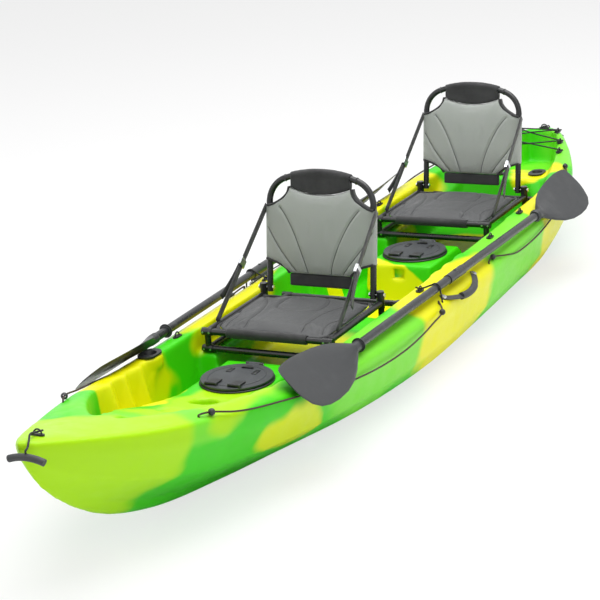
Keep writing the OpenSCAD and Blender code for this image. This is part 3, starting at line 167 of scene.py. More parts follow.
class Wiring:
    """Adds nodes to a shader tree and joins them."""

    def __init__(self, tree: bpy.types.NodeTree) -> None:
        """Keep the tree that the nodes go into."""
        self.tree = tree

    def fill(self, node: bpy.types.Node, sockets: dict[str | int, object]) -> None:
        """Set the inputs of a node.

        Args:
            node: The node.
            sockets: Input name or number to a value, or to an output to link.
        """
        for name, value in sockets.items():
            if isinstance(value, Socket):
                self.tree.links.new(value, node.inputs[name])
            else:
                node.inputs[name].default_value = value

    def node(self, kind: str, sockets: dict[str | int, object] | None = None,
             **settings: object) -> bpy.types.Node:
        """Add one node.

        Args:
            kind: Blender's name of the node type.
            sockets: Values and links of its inputs, as fill takes them.
            settings: Attributes of the node.

        Returns:
            The new node.
        """
        made = self.tree.nodes.new(kind)
        for name, value in settings.items():
            setattr(made, name, value)
        self.fill(made, sockets or {})
        return made

    def group(self, tree: bpy.types.NodeTree, sockets: dict[str | int, object]) -> bpy.types.Node:
        """Add a node that holds a shared group."""
        return self.node("ShaderNodeGroup", sockets, node_tree=tree)

    def math(self, operation: str, first: object, second: object = 0.0) -> Socket:
        """Add a Math node and return its output."""
        return self.node("ShaderNodeMath", {0: first, 1: second}, operation=operation).outputs[0]

    def vector(self, operation: str, first: object, second: object = (0, 0, 0)) -> Socket:
        """Add a Vector Math node and return its vector."""
        return self.node("ShaderNodeVectorMath", {0: first, 1: second}, operation=operation).outputs[0]

    def mix(self, factor: object, first: object, second: object) -> Socket:
        """Add a colour mix and return its output."""
        return self.node("ShaderNodeMixRGB", {0: factor, 1: first, 2: second}).outputs[0]

    def ramp(self, value: object, low: object, high: object, out_low: float, out_high: float) -> Socket:
        """Add a smooth Map Range and return its output."""
        return self.node("ShaderNodeMapRange", {0: value, 1: low, 2: high, 3: out_low, 4: out_high},
                         interpolation_type="SMOOTHSTEP").outputs[0]


def new_material(name: str) -> tuple[bpy.types.Material, Wiring, bpy.types.Node]:
    """Make a material with its main shader.

    Args:
        name: Name of the material.

    Returns:
        The material, its wiring and its main shader.
    """
    material = bpy.data.materials.new(name)
    material.use_nodes = True
    tree = material.node_tree
    return material, Wiring(tree), tree.nodes["Principled BSDF"]


COLOUR, VECTOR, NUMBER = "NodeSocketColor", "NodeSocketVector", "NodeSocketFloat"
ORIGIN = (0, 0, 0)


class Effects:
    """Shader node groups that several materials share."""

    def __init__(self) -> None:
        """Build every group once."""
        self.patch = self._patch()
        self.grain = self._grain()
        self.weave = self._weave()
        self.scuff = self._scuff()

    @staticmethod
    def _group(name: str, inputs: list[tuple[str, str, object]], outputs: list[tuple[str, str]]) -> tuple:
        """Make an empty group.

        Args:
            name: Name of the group.
            inputs: Name, socket type and default of each input.
            outputs: Name and socket type of each output.

        Returns:
            The group, its wiring, the outputs of its input node, and its output node.
        """
        tree = bpy.data.node_groups.new(name, "ShaderNodeTree")
        for label, kind, default in inputs:
            socket = tree.interface.new_socket(label, in_out="INPUT", socket_type=kind)
            socket.default_value = default
        for label, kind in outputs:
            tree.interface.new_socket(label, in_out="OUTPUT", socket_type=kind)
        w = Wiring(tree)
        return tree, w, w.node("NodeGroupInput").outputs, w.node("NodeGroupOutput")

    def _patch(self) -> bpy.types.NodeTree:
        """Lay one soft patch of another colour over a colour, for the hull's resin patches and its painted
        light.

        Returns:
            The shared group.
        """
        tree, w, given, outlet = self._group(
            "resin_patch",
            [("Color", COLOUR, (0, 0, 0, 1)), ("Patch", COLOUR, (1, 1, 1, 1)), ("Vector", VECTOR, ORIGIN),
             ("Centre", VECTOR, ORIGIN), ("Reach", VECTOR, (1, 1, 1)), ("Softness", NUMBER, 0.12)],
            [("Color", COLOUR)])
        away = w.vector("DIVIDE", w.vector("SUBTRACT", given["Vector"], given["Centre"]), given["Reach"])
        distance = w.node("ShaderNodeVectorMath", {0: away}, operation="LENGTH").outputs["Value"]
        low = w.math("SUBTRACT", 1.0, given["Softness"])
        high = w.math("ADD", 1.0, given["Softness"])
        mask = w.ramp(distance, low, high, 1.0, 0.0)
        w.fill(outlet, {"Color": w.mix(mask, given["Color"], given["Patch"])})
        return tree

    def _grain(self) -> bpy.types.NodeTree:
        """Fine mould grain over a longer ripple, as a height.

        Returns:
            The shared group.
        """
        tree, w, given, outlet = self._group(
            "mould_grain", [("Vector", VECTOR, ORIGIN), ("Scale", NUMBER, 400.0), ("Ripple", NUMBER, 0.4)],
            [("Height", NUMBER)])
        fine = w.node("ShaderNodeTexNoise", {"Vector": given["Vector"], "Scale": given["Scale"],
                                             "Detail": 2.0})
        broad = w.node("ShaderNodeTexNoise", {"Vector": given["Vector"], "Scale": 9.0, "Detail": 1.0})
        ripple = w.math("MULTIPLY", broad.outputs[0], given["Ripple"])
        w.fill(outlet, {"Height": w.math("ADD", fine.outputs[0], ripple)})
        return tree

    def _weave(self) -> bpy.types.NodeTree:
        """Over-and-under threads from two crossed waves.

        Returns:
            The shared group.
        """
        tree, w, given, outlet = self._group(
            "thread_weave", [("Vector", VECTOR, ORIGIN), ("Threads", NUMBER, 900.0)],
            [("Height", NUMBER), ("Mask", NUMBER)])
        scaled = w.node("ShaderNodeVectorMath", {0: given["Vector"], "Scale": given["Threads"]},
                        operation="SCALE").outputs[0]
        parts = w.node("ShaderNodeSeparateXYZ", {0: scaled})
        across = w.math("SINE", parts.outputs[1])
        along = w.math("SINE", w.math("ADD", parts.outputs[2], parts.outputs[0]))
        product = w.math("MULTIPLY", across, along)
        height = w.node("ShaderNodeMath", {0: product, 1: 0.5, 2: 0.5}, operation="MULTIPLY_ADD").outputs[0]
        w.fill(outlet, {"Height": height, "Mask": w.ramp(product, -0.2, 0.6, 0.0, 1.0)})
        return tree

    def _scuff(self) -> bpy.types.NodeTree:
        """Roughness that wanders with handling, and a faint dust mask.

        Returns:
            The shared group.
        """
        tree, w, given, outlet = self._group(
            "handling", [("Vector", VECTOR, ORIGIN), ("Low", NUMBER, 0.3), ("High", NUMBER, 0.45),
                         ("Scale", NUMBER, 14.0)],
            [("Roughness", NUMBER), ("Mask", NUMBER)])
        cloud = w.node("ShaderNodeTexNoise", {"Vector": given["Vector"], "Scale": given["Scale"],
                                              "Detail": 5.0, "Roughness": 0.65}).outputs[0]
        rough = w.node("ShaderNodeMapRange", {0: cloud, 1: 0.35, 2: 0.65, 3: given["Low"], 4: given["High"]})
        w.fill(outlet, {"Roughness": rough.outputs[0], "Mask": w.ramp(cloud, 0.52, 0.72, 0.0, 1.0)})
        return tree


class Texture(Enum):
    """How a finish breaks up its surface."""

    GRAIN = "grain"
    WEAVE = "weave"


@dataclass(frozen=True)
class Finish:
    """One plain finish: two screen colours, a texture and its sheen."""

    name: str
    tint: Screen
    worn: Screen
    texture: Texture = Texture.GRAIN
    scale: float = 500.0
    depth: float = 0.0004
    low: float = 0.35
    high: float = 0.5
    metallic: float = 0.0
    sheen: float = 0.0
    lean: float = 0.0
    bump: float = 0.6
    dust: float = 0.6

    def make(self, effects: Effects) -> bpy.types.Material:
        """Build the material.

        Args:
            effects: The shared node groups.

        Returns:
            The new material.
        """
        material, w, shader = new_material(self.name)
        place = w.node("ShaderNodeTexCoord").outputs["Object"]
        turned = w.node("ShaderNodeMapping", {"Vector": place, "Rotation": (0, self.lean, 0)}).outputs[0]
        hand = w.group(effects.scuff, {"Low": self.low, "High": self.high, "Vector": place}).outputs
        height, mask = self._surface(w, effects, turned, hand["Mask"])
        bump = w.node("ShaderNodeBump", {"Height": height, "Distance": self.depth, "Strength": self.bump})
        w.fill(shader, {"Base Color": w.mix(mask, paint(*self.tint), paint(*self.worn)),
                        "Roughness": hand["Roughness"], "Normal": bump.outputs[0],
                        "Metallic": self.metallic, "Sheen Weight": self.sheen})
        return material

    def _surface(self, w: Wiring, effects: Effects, place: Socket, dust: Socket) -> tuple[Socket, Socket]:
        """Pick the height and colour mask of the texture.

        Args:
            w: Wiring of the material.
            effects: The shared node groups.
            place: Coordinates that the texture reads.
            dust: Mask of the handling group.

        Returns:
            The height output and the colour mask output.
        """
        if self.texture is Texture.GRAIN:
            grain = w.group(effects.grain, {"Scale": self.scale, "Vector": place})
            return grain.outputs["Height"], w.math("MULTIPLY", dust, self.dust)
        weave = w.group(effects.weave, {"Threads": self.scale, "Vector": place})
        return weave.outputs["Height"], weave.outputs["Mask"]


@dataclass(frozen=True)
class Resin:
    """A patch of colour in the marbled hull: most are resin colours, the lighter green ones are painted
    light.
    """

    tint: Colour
    centre: Point
    reach: Point
    softness: float = 0.12


GREEN = paint(62, 202, 8)
# Lighter green of the hull where it is lit: painted light, not a resin colour
LIT_GREEN = paint(118, 218, 44)
LIME = paint(168, 222, 6)
LEMON = paint(208, 222, 4)
YELLOW = paint(228, 226, 0)


@dataclass
class MarbledPlastic:
    """The hull's moulded plastic: green with lime and yellow patches, and lighter green painted where the
    hull is lit.
    """

    patches: list[Resin] = field(default_factory=lambda: [
        # Painted highlight: lighter green where the bow deck is lit
        Resin(LIT_GREEN, (1.45, 0.20, 0.36), (0.30, 0.40, 0.07), 0.2),
        Resin(LIME, (2.05, 0.10, 0.30), (0.47, 0.60, 0.60), 0.06),
        Resin(LIME, (1.30, 0.12, 0.33), (0.22, 0.20, 0.06), 0.15),
        Resin(LEMON, (1.05, 0.40, 0.14), (0.18, 0.22, 0.14), 0.12),
        Resin(LIME, (1.10, 0.0, 0.25), (0.27, 0.13, 0.09), 0.15),
        Resin(YELLOW, (1.13, -0.27, 0.25), (0.28, 0.14, 0.18), 0.08),
        # Painted highlight: lighter green where the port side is lit
        Resin(LIT_GREEN, (0.55, 0.40, 0.18), (0.34, 0.16, 0.26), 0.2),
        Resin(YELLOW, (-0.08, 0.40, 0.20), (0.37, 0.20, 0.26), 0.08),
        Resin(YELLOW, (-0.38, 0.0, 0.14), (0.10, 0.30, 0.17), 0.06),
        Resin(YELLOW, (0.25, -0.33, 0.30), (0.42, 0.12, 0.10), 0.1),
        # Painted highlight: lighter green where the port side is lit
        Resin(LIT_GREEN, (-0.68, 0.40, 0.20), (0.30, 0.20, 0.26), 0.15),
        Resin(YELLOW, (-1.20, 0.36, 0.20), (0.26, 0.20, 0.28), 0.1),
        Resin(YELLOW, (-1.53, 0.16, 0.33), (0.11, 0.12, 0.06), 0.1),
        # Painted highlight: lighter green where the stern is lit
        Resin(LIT_GREEN, (-1.85, 0.20, 0.30), (0.26, 0.30, 0.30), 0.2),
        Resin(YELLOW, (0.30, 0.0, 0.15), (0.22, 0.24, 0.10), 0.15),
        Resin(YELLOW, (-1.15, -0.34, 0.28), (0.34, 0.14, 0.12), 0.12),
        Resin(YELLOW, (-0.95, 0.0, 0.14), (0.20, 0.20, 0.10), 0.15),
    ])
    swirl_scale: float = 3.2
    swirl_reach: Point = (0.42, 0.30, 0.26)
    low: float = 0.30
    high: float = 0.44
    grain_scale: float = 700.0
    ripple: float = 1.5
    depth: float = 0.0006
    bump: float = 0.5
    specular: float = 0.22

    def make(self, effects: Effects) -> bpy.types.Material:
        """Build the material.

        Args:
            effects: The shared node groups.

        Returns:
            The new material.
        """
        material, w, shader = new_material("marbled_hull")
        place = w.node("ShaderNodeTexCoord").outputs["Object"]
        swirl = w.node("ShaderNodeTexNoise", {"Vector": place, "Scale": self.swirl_scale, "Detail": 2.5,
                                              "Roughness": 0.5}).outputs[1]
        shift = w.vector("MULTIPLY", w.vector("SUBTRACT", swirl, (0.5, 0.5, 0.5)), self.swirl_reach)
        folded = w.vector("ADD", place, shift)
        colour: object = GREEN
        # Resin patches, and lighter green painted where the hull is lit
        for colour_patch in self.patches:
            patch = w.group(effects.patch, {
                "Color": colour, "Patch": colour_patch.tint, "Vector": folded, "Centre": colour_patch.centre,
                "Reach": colour_patch.reach, "Softness": colour_patch.softness})
            colour = patch.outputs["Color"]
        hand = w.group(effects.scuff, {"Low": self.low, "High": self.high, "Vector": place})
        grain = w.group(effects.grain, {"Vector": place, "Scale": self.grain_scale, "Ripple": self.ripple})
        bump = w.node("ShaderNodeBump", {"Height": grain.outputs["Height"], "Distance": self.depth,
                                         "Strength": self.bump})
        w.fill(shader, {"Base Color": colour, "Roughness": hand.outputs["Roughness"],
                        "Normal": bump.outputs[0], "Specular IOR Level": self.specular})
        return material


BACK_LEAN = math.radians(9)
PLAIN_FINISHES = {
    "black": Finish("black_moulding", (24, 25, 27), (44, 46, 48), scale=900.0),
    "lid": Finish("grey_lid", (52, 55, 58), (70, 73, 76), scale=650.0, depth=0.0009, low=0.42, high=0.58),
    "blade": Finish("blade_moulding", (46, 48, 50), (62, 64, 66), scale=800.0, low=0.32, high=0.5),
    "shaft": Finish("shaft_coat", (40, 42, 44), (74, 77, 80), scale=300.0, depth=0.0002, low=0.22, high=0.36),
    "tube": Finish("tube_coat", (22, 23, 25), (46, 48, 50), scale=1200.0, depth=0.0002, low=0.22, high=0.36),
    "metal": Finish("bright_metal", (200, 202, 206), (168, 171, 176), scale=1500.0, depth=0.0001,
                    low=0.2, high=0.34, metallic=1.0),
    "rubber": Finish("handle_rubber", (52, 54, 56), (78, 80, 82), scale=1100.0, low=0.5, high=0.7),
    "mesh": Finish("back_mesh", (132, 136, 132), (204, 208, 204), Texture.WEAVE, 2400.0, 0.0012, 0.6, 0.8,
                   sheen=0.25, lean=BACK_LEAN),
    "pad": Finish("seat_cloth", (52, 53, 54), (74, 76, 77), Texture.WEAVE, 3000.0, 0.0006, 0.42, 0.6,
                  sheen=0.15),
    "binding": Finish("black_binding", (20, 20, 22), (36, 36, 38), Texture.WEAVE, 2600.0, 0.0006, 0.6, 0.85,
                      sheen=0.2),
    "webbing": Finish("webbing", (26, 26, 28), (48, 48, 50), Texture.WEAVE, 2000.0, 0.0009, 0.55, 0.75,
                      sheen=0.2),
    "braid": Finish("cord_braid", (18, 16, 15), (84, 54, 38), Texture.WEAVE, 1300.0, 0.0012, 0.6, 0.8),
    "lace": Finish("lace_braid", (14, 15, 15), (40, 42, 42), Texture.WEAVE, 1300.0, 0.0012, 0.6, 0.8),
}


class Wardrobe:
    """Every material of the boat, made once."""

    def __init__(self) -> None:
        """Make the shared groups and the materials."""
        effects = Effects()
        self.made = {"hull": MarbledPlastic().make(effects)}
        self.made |= {key: finish.make(effects) for key, finish in PLAIN_FINISHES.items()}

    def dress(self, piece: Piece, key: str, slot: Slot | None = None) -> None:
        """Give a piece its material.

        Args:
            piece: The piece to dress.
            key: Name of the material here.
            slot: Not used.
        """
        piece.data.materials.clear()
        piece.data.materials.append(self.made[key])


class Bench:
    """Makes mesh objects, copies solids and applies modifiers."""

    frames = 16
    cloth_quality = 4
    cloth_mass = 0.2
    seam_steps = 8
    seam_facing = -0.2
    ray_start = 0.2
    merge = 1e-5
    relaxing = 0.5

    def __init__(self, frame: dict) -> None:
        """Keep the solids of the loaded frame."""
        self.nodes: dict[str, Piece] = frame["nodes"]

    @staticmethod
    def finish(name: str, bm: bmesh.types.BMesh, smooth: bool = True) -> Piece:
        """Turn a bmesh into an object at the origin.

        Args:
            name: Name of the new piece.
            bm: The mesh, which is freed.
            smooth: Whether its faces shade smoothly.

        Returns:
            The new object.
        """
        mesh = bpy.data.meshes.new(name)
        for face in bm.faces:
            face.smooth = smooth
        bm.to_mesh(mesh)
        bm.free()
        return add_object(name, mesh)

    def copy(self, node: str) -> bmesh.types.BMesh:
        """Copy a solid's mesh and merge its loose triangles.

        Args:
            node: Name of the solid.

        Returns:
            The merged copy.
        """
        bm = bmesh.new()
        bm.from_mesh(self.nodes[node].data)
        bmesh.ops.remove_doubles(bm, verts=bm.verts, dist=self.merge)
        return bm

    @staticmethod
    def close(bm: bmesh.types.BMesh) -> None:
        """Fill every open edge loop of a mesh."""
        bmesh.ops.holes_fill(bm, edges=[e for e in bm.edges if e.is_boundary], sides=0)

    def halve(self, bm: bmesh.types.BMesh, at: Vector, towards: Vector) -> None:
        """Keep the part of a mesh on one side of a plane, and close the cut.

        Args:
            bm: The mesh.
            at: A point of the plane.
            towards: The side that is kept.
        """
        bmesh.ops.bisect_plane(bm, geom=[*bm.verts, *bm.edges, *bm.faces], plane_co=at, plane_no=towards,
                               clear_inner=True)
        self.close(bm)

    @staticmethod
    def settle(piece: Piece) -> None:
        """Apply a piece's modifiers to its mesh.

        Args:
            piece: The piece.
        """
        graph = bpy.context.evaluated_depsgraph_get()
        graph.update()
        baked = bpy.data.meshes.new_from_object(piece.evaluated_get(graph))
        old = piece.data
        piece.modifiers.clear()
        piece.data = baked
        bpy.data.meshes.remove(old)

    def modify(self, piece: Piece, kind: str, **settings: object) -> None:
        """Put one modifier on a piece and apply it.

        Args:
            piece: The piece.
            kind: Blender's name of the modifier.
            settings: Attributes of the modifier.
        """
        tool = piece.modifiers.new(kind.lower(), kind)
        for name, value in settings.items():
            setattr(tool, name, value)
        self.settle(piece)

    @staticmethod
    def shade(piece: Piece) -> None:
        """Shade every face of a piece smoothly."""
        for face in piece.data.polygons:
            face.use_smooth = True

    def remesh(self, piece: Piece, voxel: float) -> None:
        """Cover a closed piece with even faces of about one voxel."""
        self.modify(piece, "REMESH", mode="VOXEL", voxel_size=voxel)

    def relax(self, piece: Piece, rounds: int) -> None:
        """Smooth a piece's vertices a number of times.

        Args:
            piece: The piece.
            rounds: How often.
        """
        bm = bmesh.new()
        bm.from_mesh(piece.data)
        for _ in range(rounds):
            bmesh.ops.smooth_vert(bm, verts=bm.verts, factor=self.relaxing, use_axis_x=True,
                                  use_axis_y=True, use_axis_z=True)
        bm.to_mesh(piece.data)
        bm.free()

    def cut(self, piece: Piece, cutter: Piece) -> None:
        """Take a cutter's shape out of a piece and throw the cutter away."""
        self.modify(piece, "BOOLEAN", operation="DIFFERENCE", object=cutter, solver="EXACT")
        bpy.data.objects.remove(cutter)

    def strip(self, name: str, route: list[Vector], across: Vector, width: float, thick: float) -> Piece:
        """Make a strip of webbing along a route.

        Args:
            name: Name of the new piece.
            route: Middle line of the strip.
            across: Direction of its width.
            width: Width of the strip.
            thick: Thickness of the strip.

        Returns:
            The new object.
        """
        bm = bmesh.new()
        half = across.normalized() * width / 2
        ends = [bm.verts.new(route[0] - half), bm.verts.new(route[0]), bm.verts.new(route[0] + half)]
        edges = [bm.edges.new(ends[:2]), bm.edges.new(ends[1:])]
        for start, end in zip(route, route[1:]):
            grown = bmesh.ops.extrude_edge_only(bm, edges=edges)["geom"]
            moved = [g for g in grown if isinstance(g, bmesh.types.BMVert)]
            bmesh.ops.translate(bm, verts=moved, vec=end - start)
            edges = [g for g in grown if isinstance(g, bmesh.types.BMEdge)]
        bmesh.ops.recalc_face_normals(bm, faces=bm.faces)
        piece = self.finish(name, bm)
        self.modify(piece, "SOLIDIFY", thickness=thick, offset=0)
        return piece

    def soft(self, name: str, node: str, voxel: float, rounds: int) -> Piece:
        """Copy a solid as a softened piece.

        Args:
            name: Name of the new piece.
            node: The solid to copy.
            voxel: Size of the even faces.
            rounds: How often it is smoothed.

        Returns:
            The new object.
        """
        piece = self.finish(name, self.copy(node))
        self.remesh(piece, voxel)
        self.relax(piece, rounds)
        self.shade(piece)
        return piece

    def swell(self, piece: Piece, held: list[int], pressure: float, most: float) -> None:
        """Blow a closed piece up as stuffed cloth.

        Args:
            piece: The piece, covered with even faces.
            held: Vertices that stay in place.
            pressure: Push from inside.
            most: The farthest that a vertex may move.
        """
        start = [v.co.copy() for v in piece.data.vertices]
        piece.vertex_groups.new(name="held").add(held, 1.0, "REPLACE")
        cloth = piece.modifiers.new("stuffing", "CLOTH")
        cloth.settings.quality = self.cloth_quality
        cloth.settings.mass = self.cloth_mass
        cloth.settings.use_pressure = True
        cloth.settings.uniform_pressure_force = pressure
        cloth.settings.vertex_group_mass = "held"
        cloth.settings.effector_weights.gravity = 0.0
        cloth.collision_settings.use_collision = False
        cloth.collision_settings.use_self_collision = False
        cloth.point_cache.frame_start = 1
        cloth.point_cache.frame_end = self.frames
        scene = bpy.context.scene
        for frame in range(1, self.frames + 1):
            scene.frame_set(frame)
        self.settle(piece)
        scene.frame_set(1)
        for vertex, place in zip(piece.data.vertices, start):
            moved = vertex.co - place
            if moved.length > most:
                vertex.co = place + moved * most / moved.length

    def sew(self, piece: Piece, seams: list[list[Vector]], inward: Vector, depth: float,
            width: float) -> None:
        """Draw a piece's face in along its seams.

        Args:
            piece: The piece to draw in.
            seams: Middle line of each seam, near the face.
            inward: Direction of the pull.
            depth: How deep the middle goes.
            width: Half breadth of the groove.
        """
        flat = Matrix.Identity(3) - Matrix([[a * b for b in inward] for a in inward])
        points = [flat @ a.lerp(b, i / self.seam_steps) for seam in seams for a, b in zip(seam, seam[1:])
                  for i in range(self.seam_steps)]
        near = KDTree(len(points))
        for number, point in enumerate(points):
            near.insert(point, number)
        near.balance()
        for vertex in [v for v in piece.data.vertices if v.normal.dot(inward) < self.seam_facing]:
            off = near.find(flat @ vertex.co)[2]
            vertex.co += inward * depth * math.exp(-(off / width) ** 2)

    def project(self, piece: Piece, route: list[Vector], inward: Vector) -> list[Vector]:
        """Lay a route on a piece's face.

        Args:
            piece: The piece with the face.
            route: Points in front of the face.
            inward: Direction towards the face.

        Returns:
            The points that met the face.
        """
        tree = BVHTree.FromObject(piece, bpy.context.evaluated_depsgraph_get())
        hits = [tree.ray_cast(p - inward * self.ray_start, inward)[0] for p in route]
        return [hit for hit in hits if hit is not None]

    def tube(self, name: str, route: list[Vector], radius: float) -> Piece:
        """Make a round mesh tube along a route.

        Args:
            name: Name of the new piece.
            route: Middle line.
            radius: Radius of the round section.

        Returns:
            The new mesh object.
        """
        curve = self.pipe(name, route, radius)
        mesh = bpy.data.meshes.new_from_object(curve)
        bpy.data.objects.remove(curve)
        made = add_object(name, mesh)
        self.shade(made)
        return made

    @staticmethod
    def shifted(piece: Piece, name: str, by: Vector) -> Piece:
        """Copy a piece to another place.

        Args:
            piece: The piece.
            name: Name of the copy.
            by: How far the copy is moved.

        Returns:
            The copy.
        """
        mesh = piece.data.copy()
        mesh.transform(Matrix.Translation(by))
        return add_object(name, mesh)

    @staticmethod
    def pipe(name: str, route: list[Vector], radius: float) -> Piece:
        """Make a round curve along a route.

        Args:
            name: Name of the new piece.
            route: Middle line.
            radius: Radius of the round section.

        Returns:
            The new curve object.
        """
        curve = bpy.data.curves.new(name, "CURVE")
        curve.dimensions = "3D"
        curve.bevel_depth = radius
        curve.bevel_resolution = 3
        curve.use_fill_caps = True
        spline = curve.splines.new("POLY")
        spline.points.add(len(route) - 1)
        for point, place in zip(spline.points, route):
            point.co = (*place, 1.0)
        spline.use_smooth = True
        return add_object(name, curve)


@dataclass
class Camera:
    """The photograph's viewpoint."""

    focus: float = 124.81
    sensor: float = 36
    reach: float = 100
    place: Point = (6.3344, 3.1099, 2.4652)
    pitch: float = math.radians(17.49)
    yaw: float = math.radians(27.557)
    roll: float = math.radians(4.42)

    def build(self) -> None:
        """Make the camera and set it as the scene's own."""
        level = math.cos(self.pitch)
        ahead = Vector((-math.cos(self.yaw) * level, -math.sin(self.yaw) * level, -math.sin(self.pitch)))
        right = Vector((-math.sin(self.yaw), math.cos(self.yaw), 0))
        up = right.cross(ahead)
        side = right * math.cos(self.roll) - up * math.sin(self.roll)
        top = right * math.sin(self.roll) + up * math.cos(self.roll)
        lens = bpy.data.cameras.new("camera")
        lens.lens = self.focus
        lens.sensor_width = self.sensor
        lens.sensor_fit = "HORIZONTAL"
        lens.clip_end = self.reach
        camera = add_object("camera", lens)
        camera.matrix_world = Matrix(((*side, 0), (*top, 0), (*-ahead, 0), (*self.place, 1))).transposed()
        bpy.context.scene.camera = camera


@dataclass(frozen=True)
class Lamp:
    """One square soft lamp, aimed at the boat."""

    name: str
    place: Point
    size: float
    power: float
    aim: Point = (0, 0, 0.2)

    def hang(self) -> None:
        """Put the lamp into the scene."""
        light = bpy.data.lights.new(self.name, "AREA")
        light.size = self.size
        light.energy = self.power
        lamp = add_object(self.name, light)
        lamp.location = self.place
        towards = Vector(self.aim) - Vector(self.place)
        lamp.rotation_euler = towards.to_track_quat("-Z", "Y").to_euler()


WHITE = (1, 1, 1, 1)


@dataclass
class Studio:
    """White floor and soft light."""

    floor_size: float = 60.0
    floor_z: float = -0.001
    world_level: float = 0.38
    paper: Colour = (0.93, 0.93, 0.93, 1)
    paper_glow: float = 0.72
    lamps: tuple[Lamp, ...] = (Lamp("key", (4.5, 5.0, 5.5), 5.0, 95), Lamp("fill", (5.0, -4.5, 4.0), 5.0, 60),
                               Lamp("top", (-0.5, 0.5, 6.0), 6.0, 500))

    def build(self) -> None:
        """Make the world, the floor and the lamps."""
        scene = bpy.context.scene
        scene.view_settings.view_transform = "Standard"
        scene.world = self._world()
        bm = bmesh.new()
        bmesh.ops.create_grid(bm, x_segments=1, y_segments=1, size=self.floor_size / 2)
        bmesh.ops.translate(bm, verts=bm.verts, vec=(0, 0, self.floor_z))
        floor = Bench.finish("floor", bm)
        floor.data.materials.append(self._paper())
        for lamp in self.lamps:
            lamp.hang()

    def _world(self) -> bpy.types.World:
        """Make a world that is white to the camera and to mirrors, at a plain level to everything else.

        Returns:
            The world.
        """
        world = bpy.data.worlds.new("studio")
        world.use_nodes = True
        nodes = world.node_tree.nodes
        w = Wiring(world.node_tree)
        w.fill(nodes["Background"], {0: WHITE, 1: self.world_level})
        path = w.node("ShaderNodeLightPath").outputs
        reflected = w.math("MAXIMUM", path["Is Glossy Ray"], path["Is Transmission Ray"])
        seen = w.math("MAXIMUM", path["Is Camera Ray"], reflected)
        white = w.node("ShaderNodeBackground", {0: WHITE, 1: 1.0})
        both = w.node("ShaderNodeMixShader", {0: seen, 1: nodes["Background"].outputs[0],
                                              2: white.outputs[0]})
        w.fill(nodes["World Output"], {0: both.outputs[0]})
        return world

    def _paper(self) -> bpy.types.Material:
        """Make pale paper that the camera sees as nearly white.

        Returns:
            The material of the floor.
        """
        material, w, shader = new_material("floor_paper")
        w.fill(shader, {"Base Color": self.paper, "Roughness": 0.9, "Specular IOR Level": 0.1})
        glow = w.node("ShaderNodeEmission", {0: WHITE, 1: 1.0})
        path = w.node("ShaderNodeLightPath")
        seen = w.math("MULTIPLY", path.outputs["Is Camera Ray"], self.paper_glow)
        both = w.node("ShaderNodeMixShader", {0: seen, 1: shader.outputs[0], 2: glow.outputs[0]})
        w.fill(material.node_tree.nodes["Material Output"], {0: both.outputs[0]})
        return material


@dataclass(frozen=True)
class Pull:
    """A body and two points of a piece, where a pull would begin and where the piece is whole; nothing here
    bends the piece.
    """

    body: str
    start: Vector | Point
    end: Vector | Point


@dataclass
class Maker:
    """One sub-assembly of the boat, with the materials and tools that it needs."""

    wardrobe: Wardrobe
    bench: Bench

    def own(self, piece: Piece, body: str, finish: str, slot: Slot, node: str | None = None) -> None:
        """Dress a piece, hang it on a body and hide the solid that it stands for.

        Args:
            piece: The piece.
            body: Body that it rides on.
            finish: Its material.
            slot: Its record slot.
            node: The solid that it stands for.
        """
        self.wardrobe.dress(piece, finish, slot)
        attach(piece, body)
        if node:
            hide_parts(node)

    def bend(self, piece: Piece, pull: Pull, finish: str, slot: Slot, node: str | None = None) -> None:
        """Dress a piece, bake its place into its mesh and hide the solid that it stands for.

        Args:
            piece: The piece.
            pull: Not used.
            finish: Its material.
            slot: Its record slot.
            node: The solid that it stands for.
        """
        self.wardrobe.dress(piece, finish, slot)
        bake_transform(piece)
        if node:
            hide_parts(node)


CORD_D = 0.006


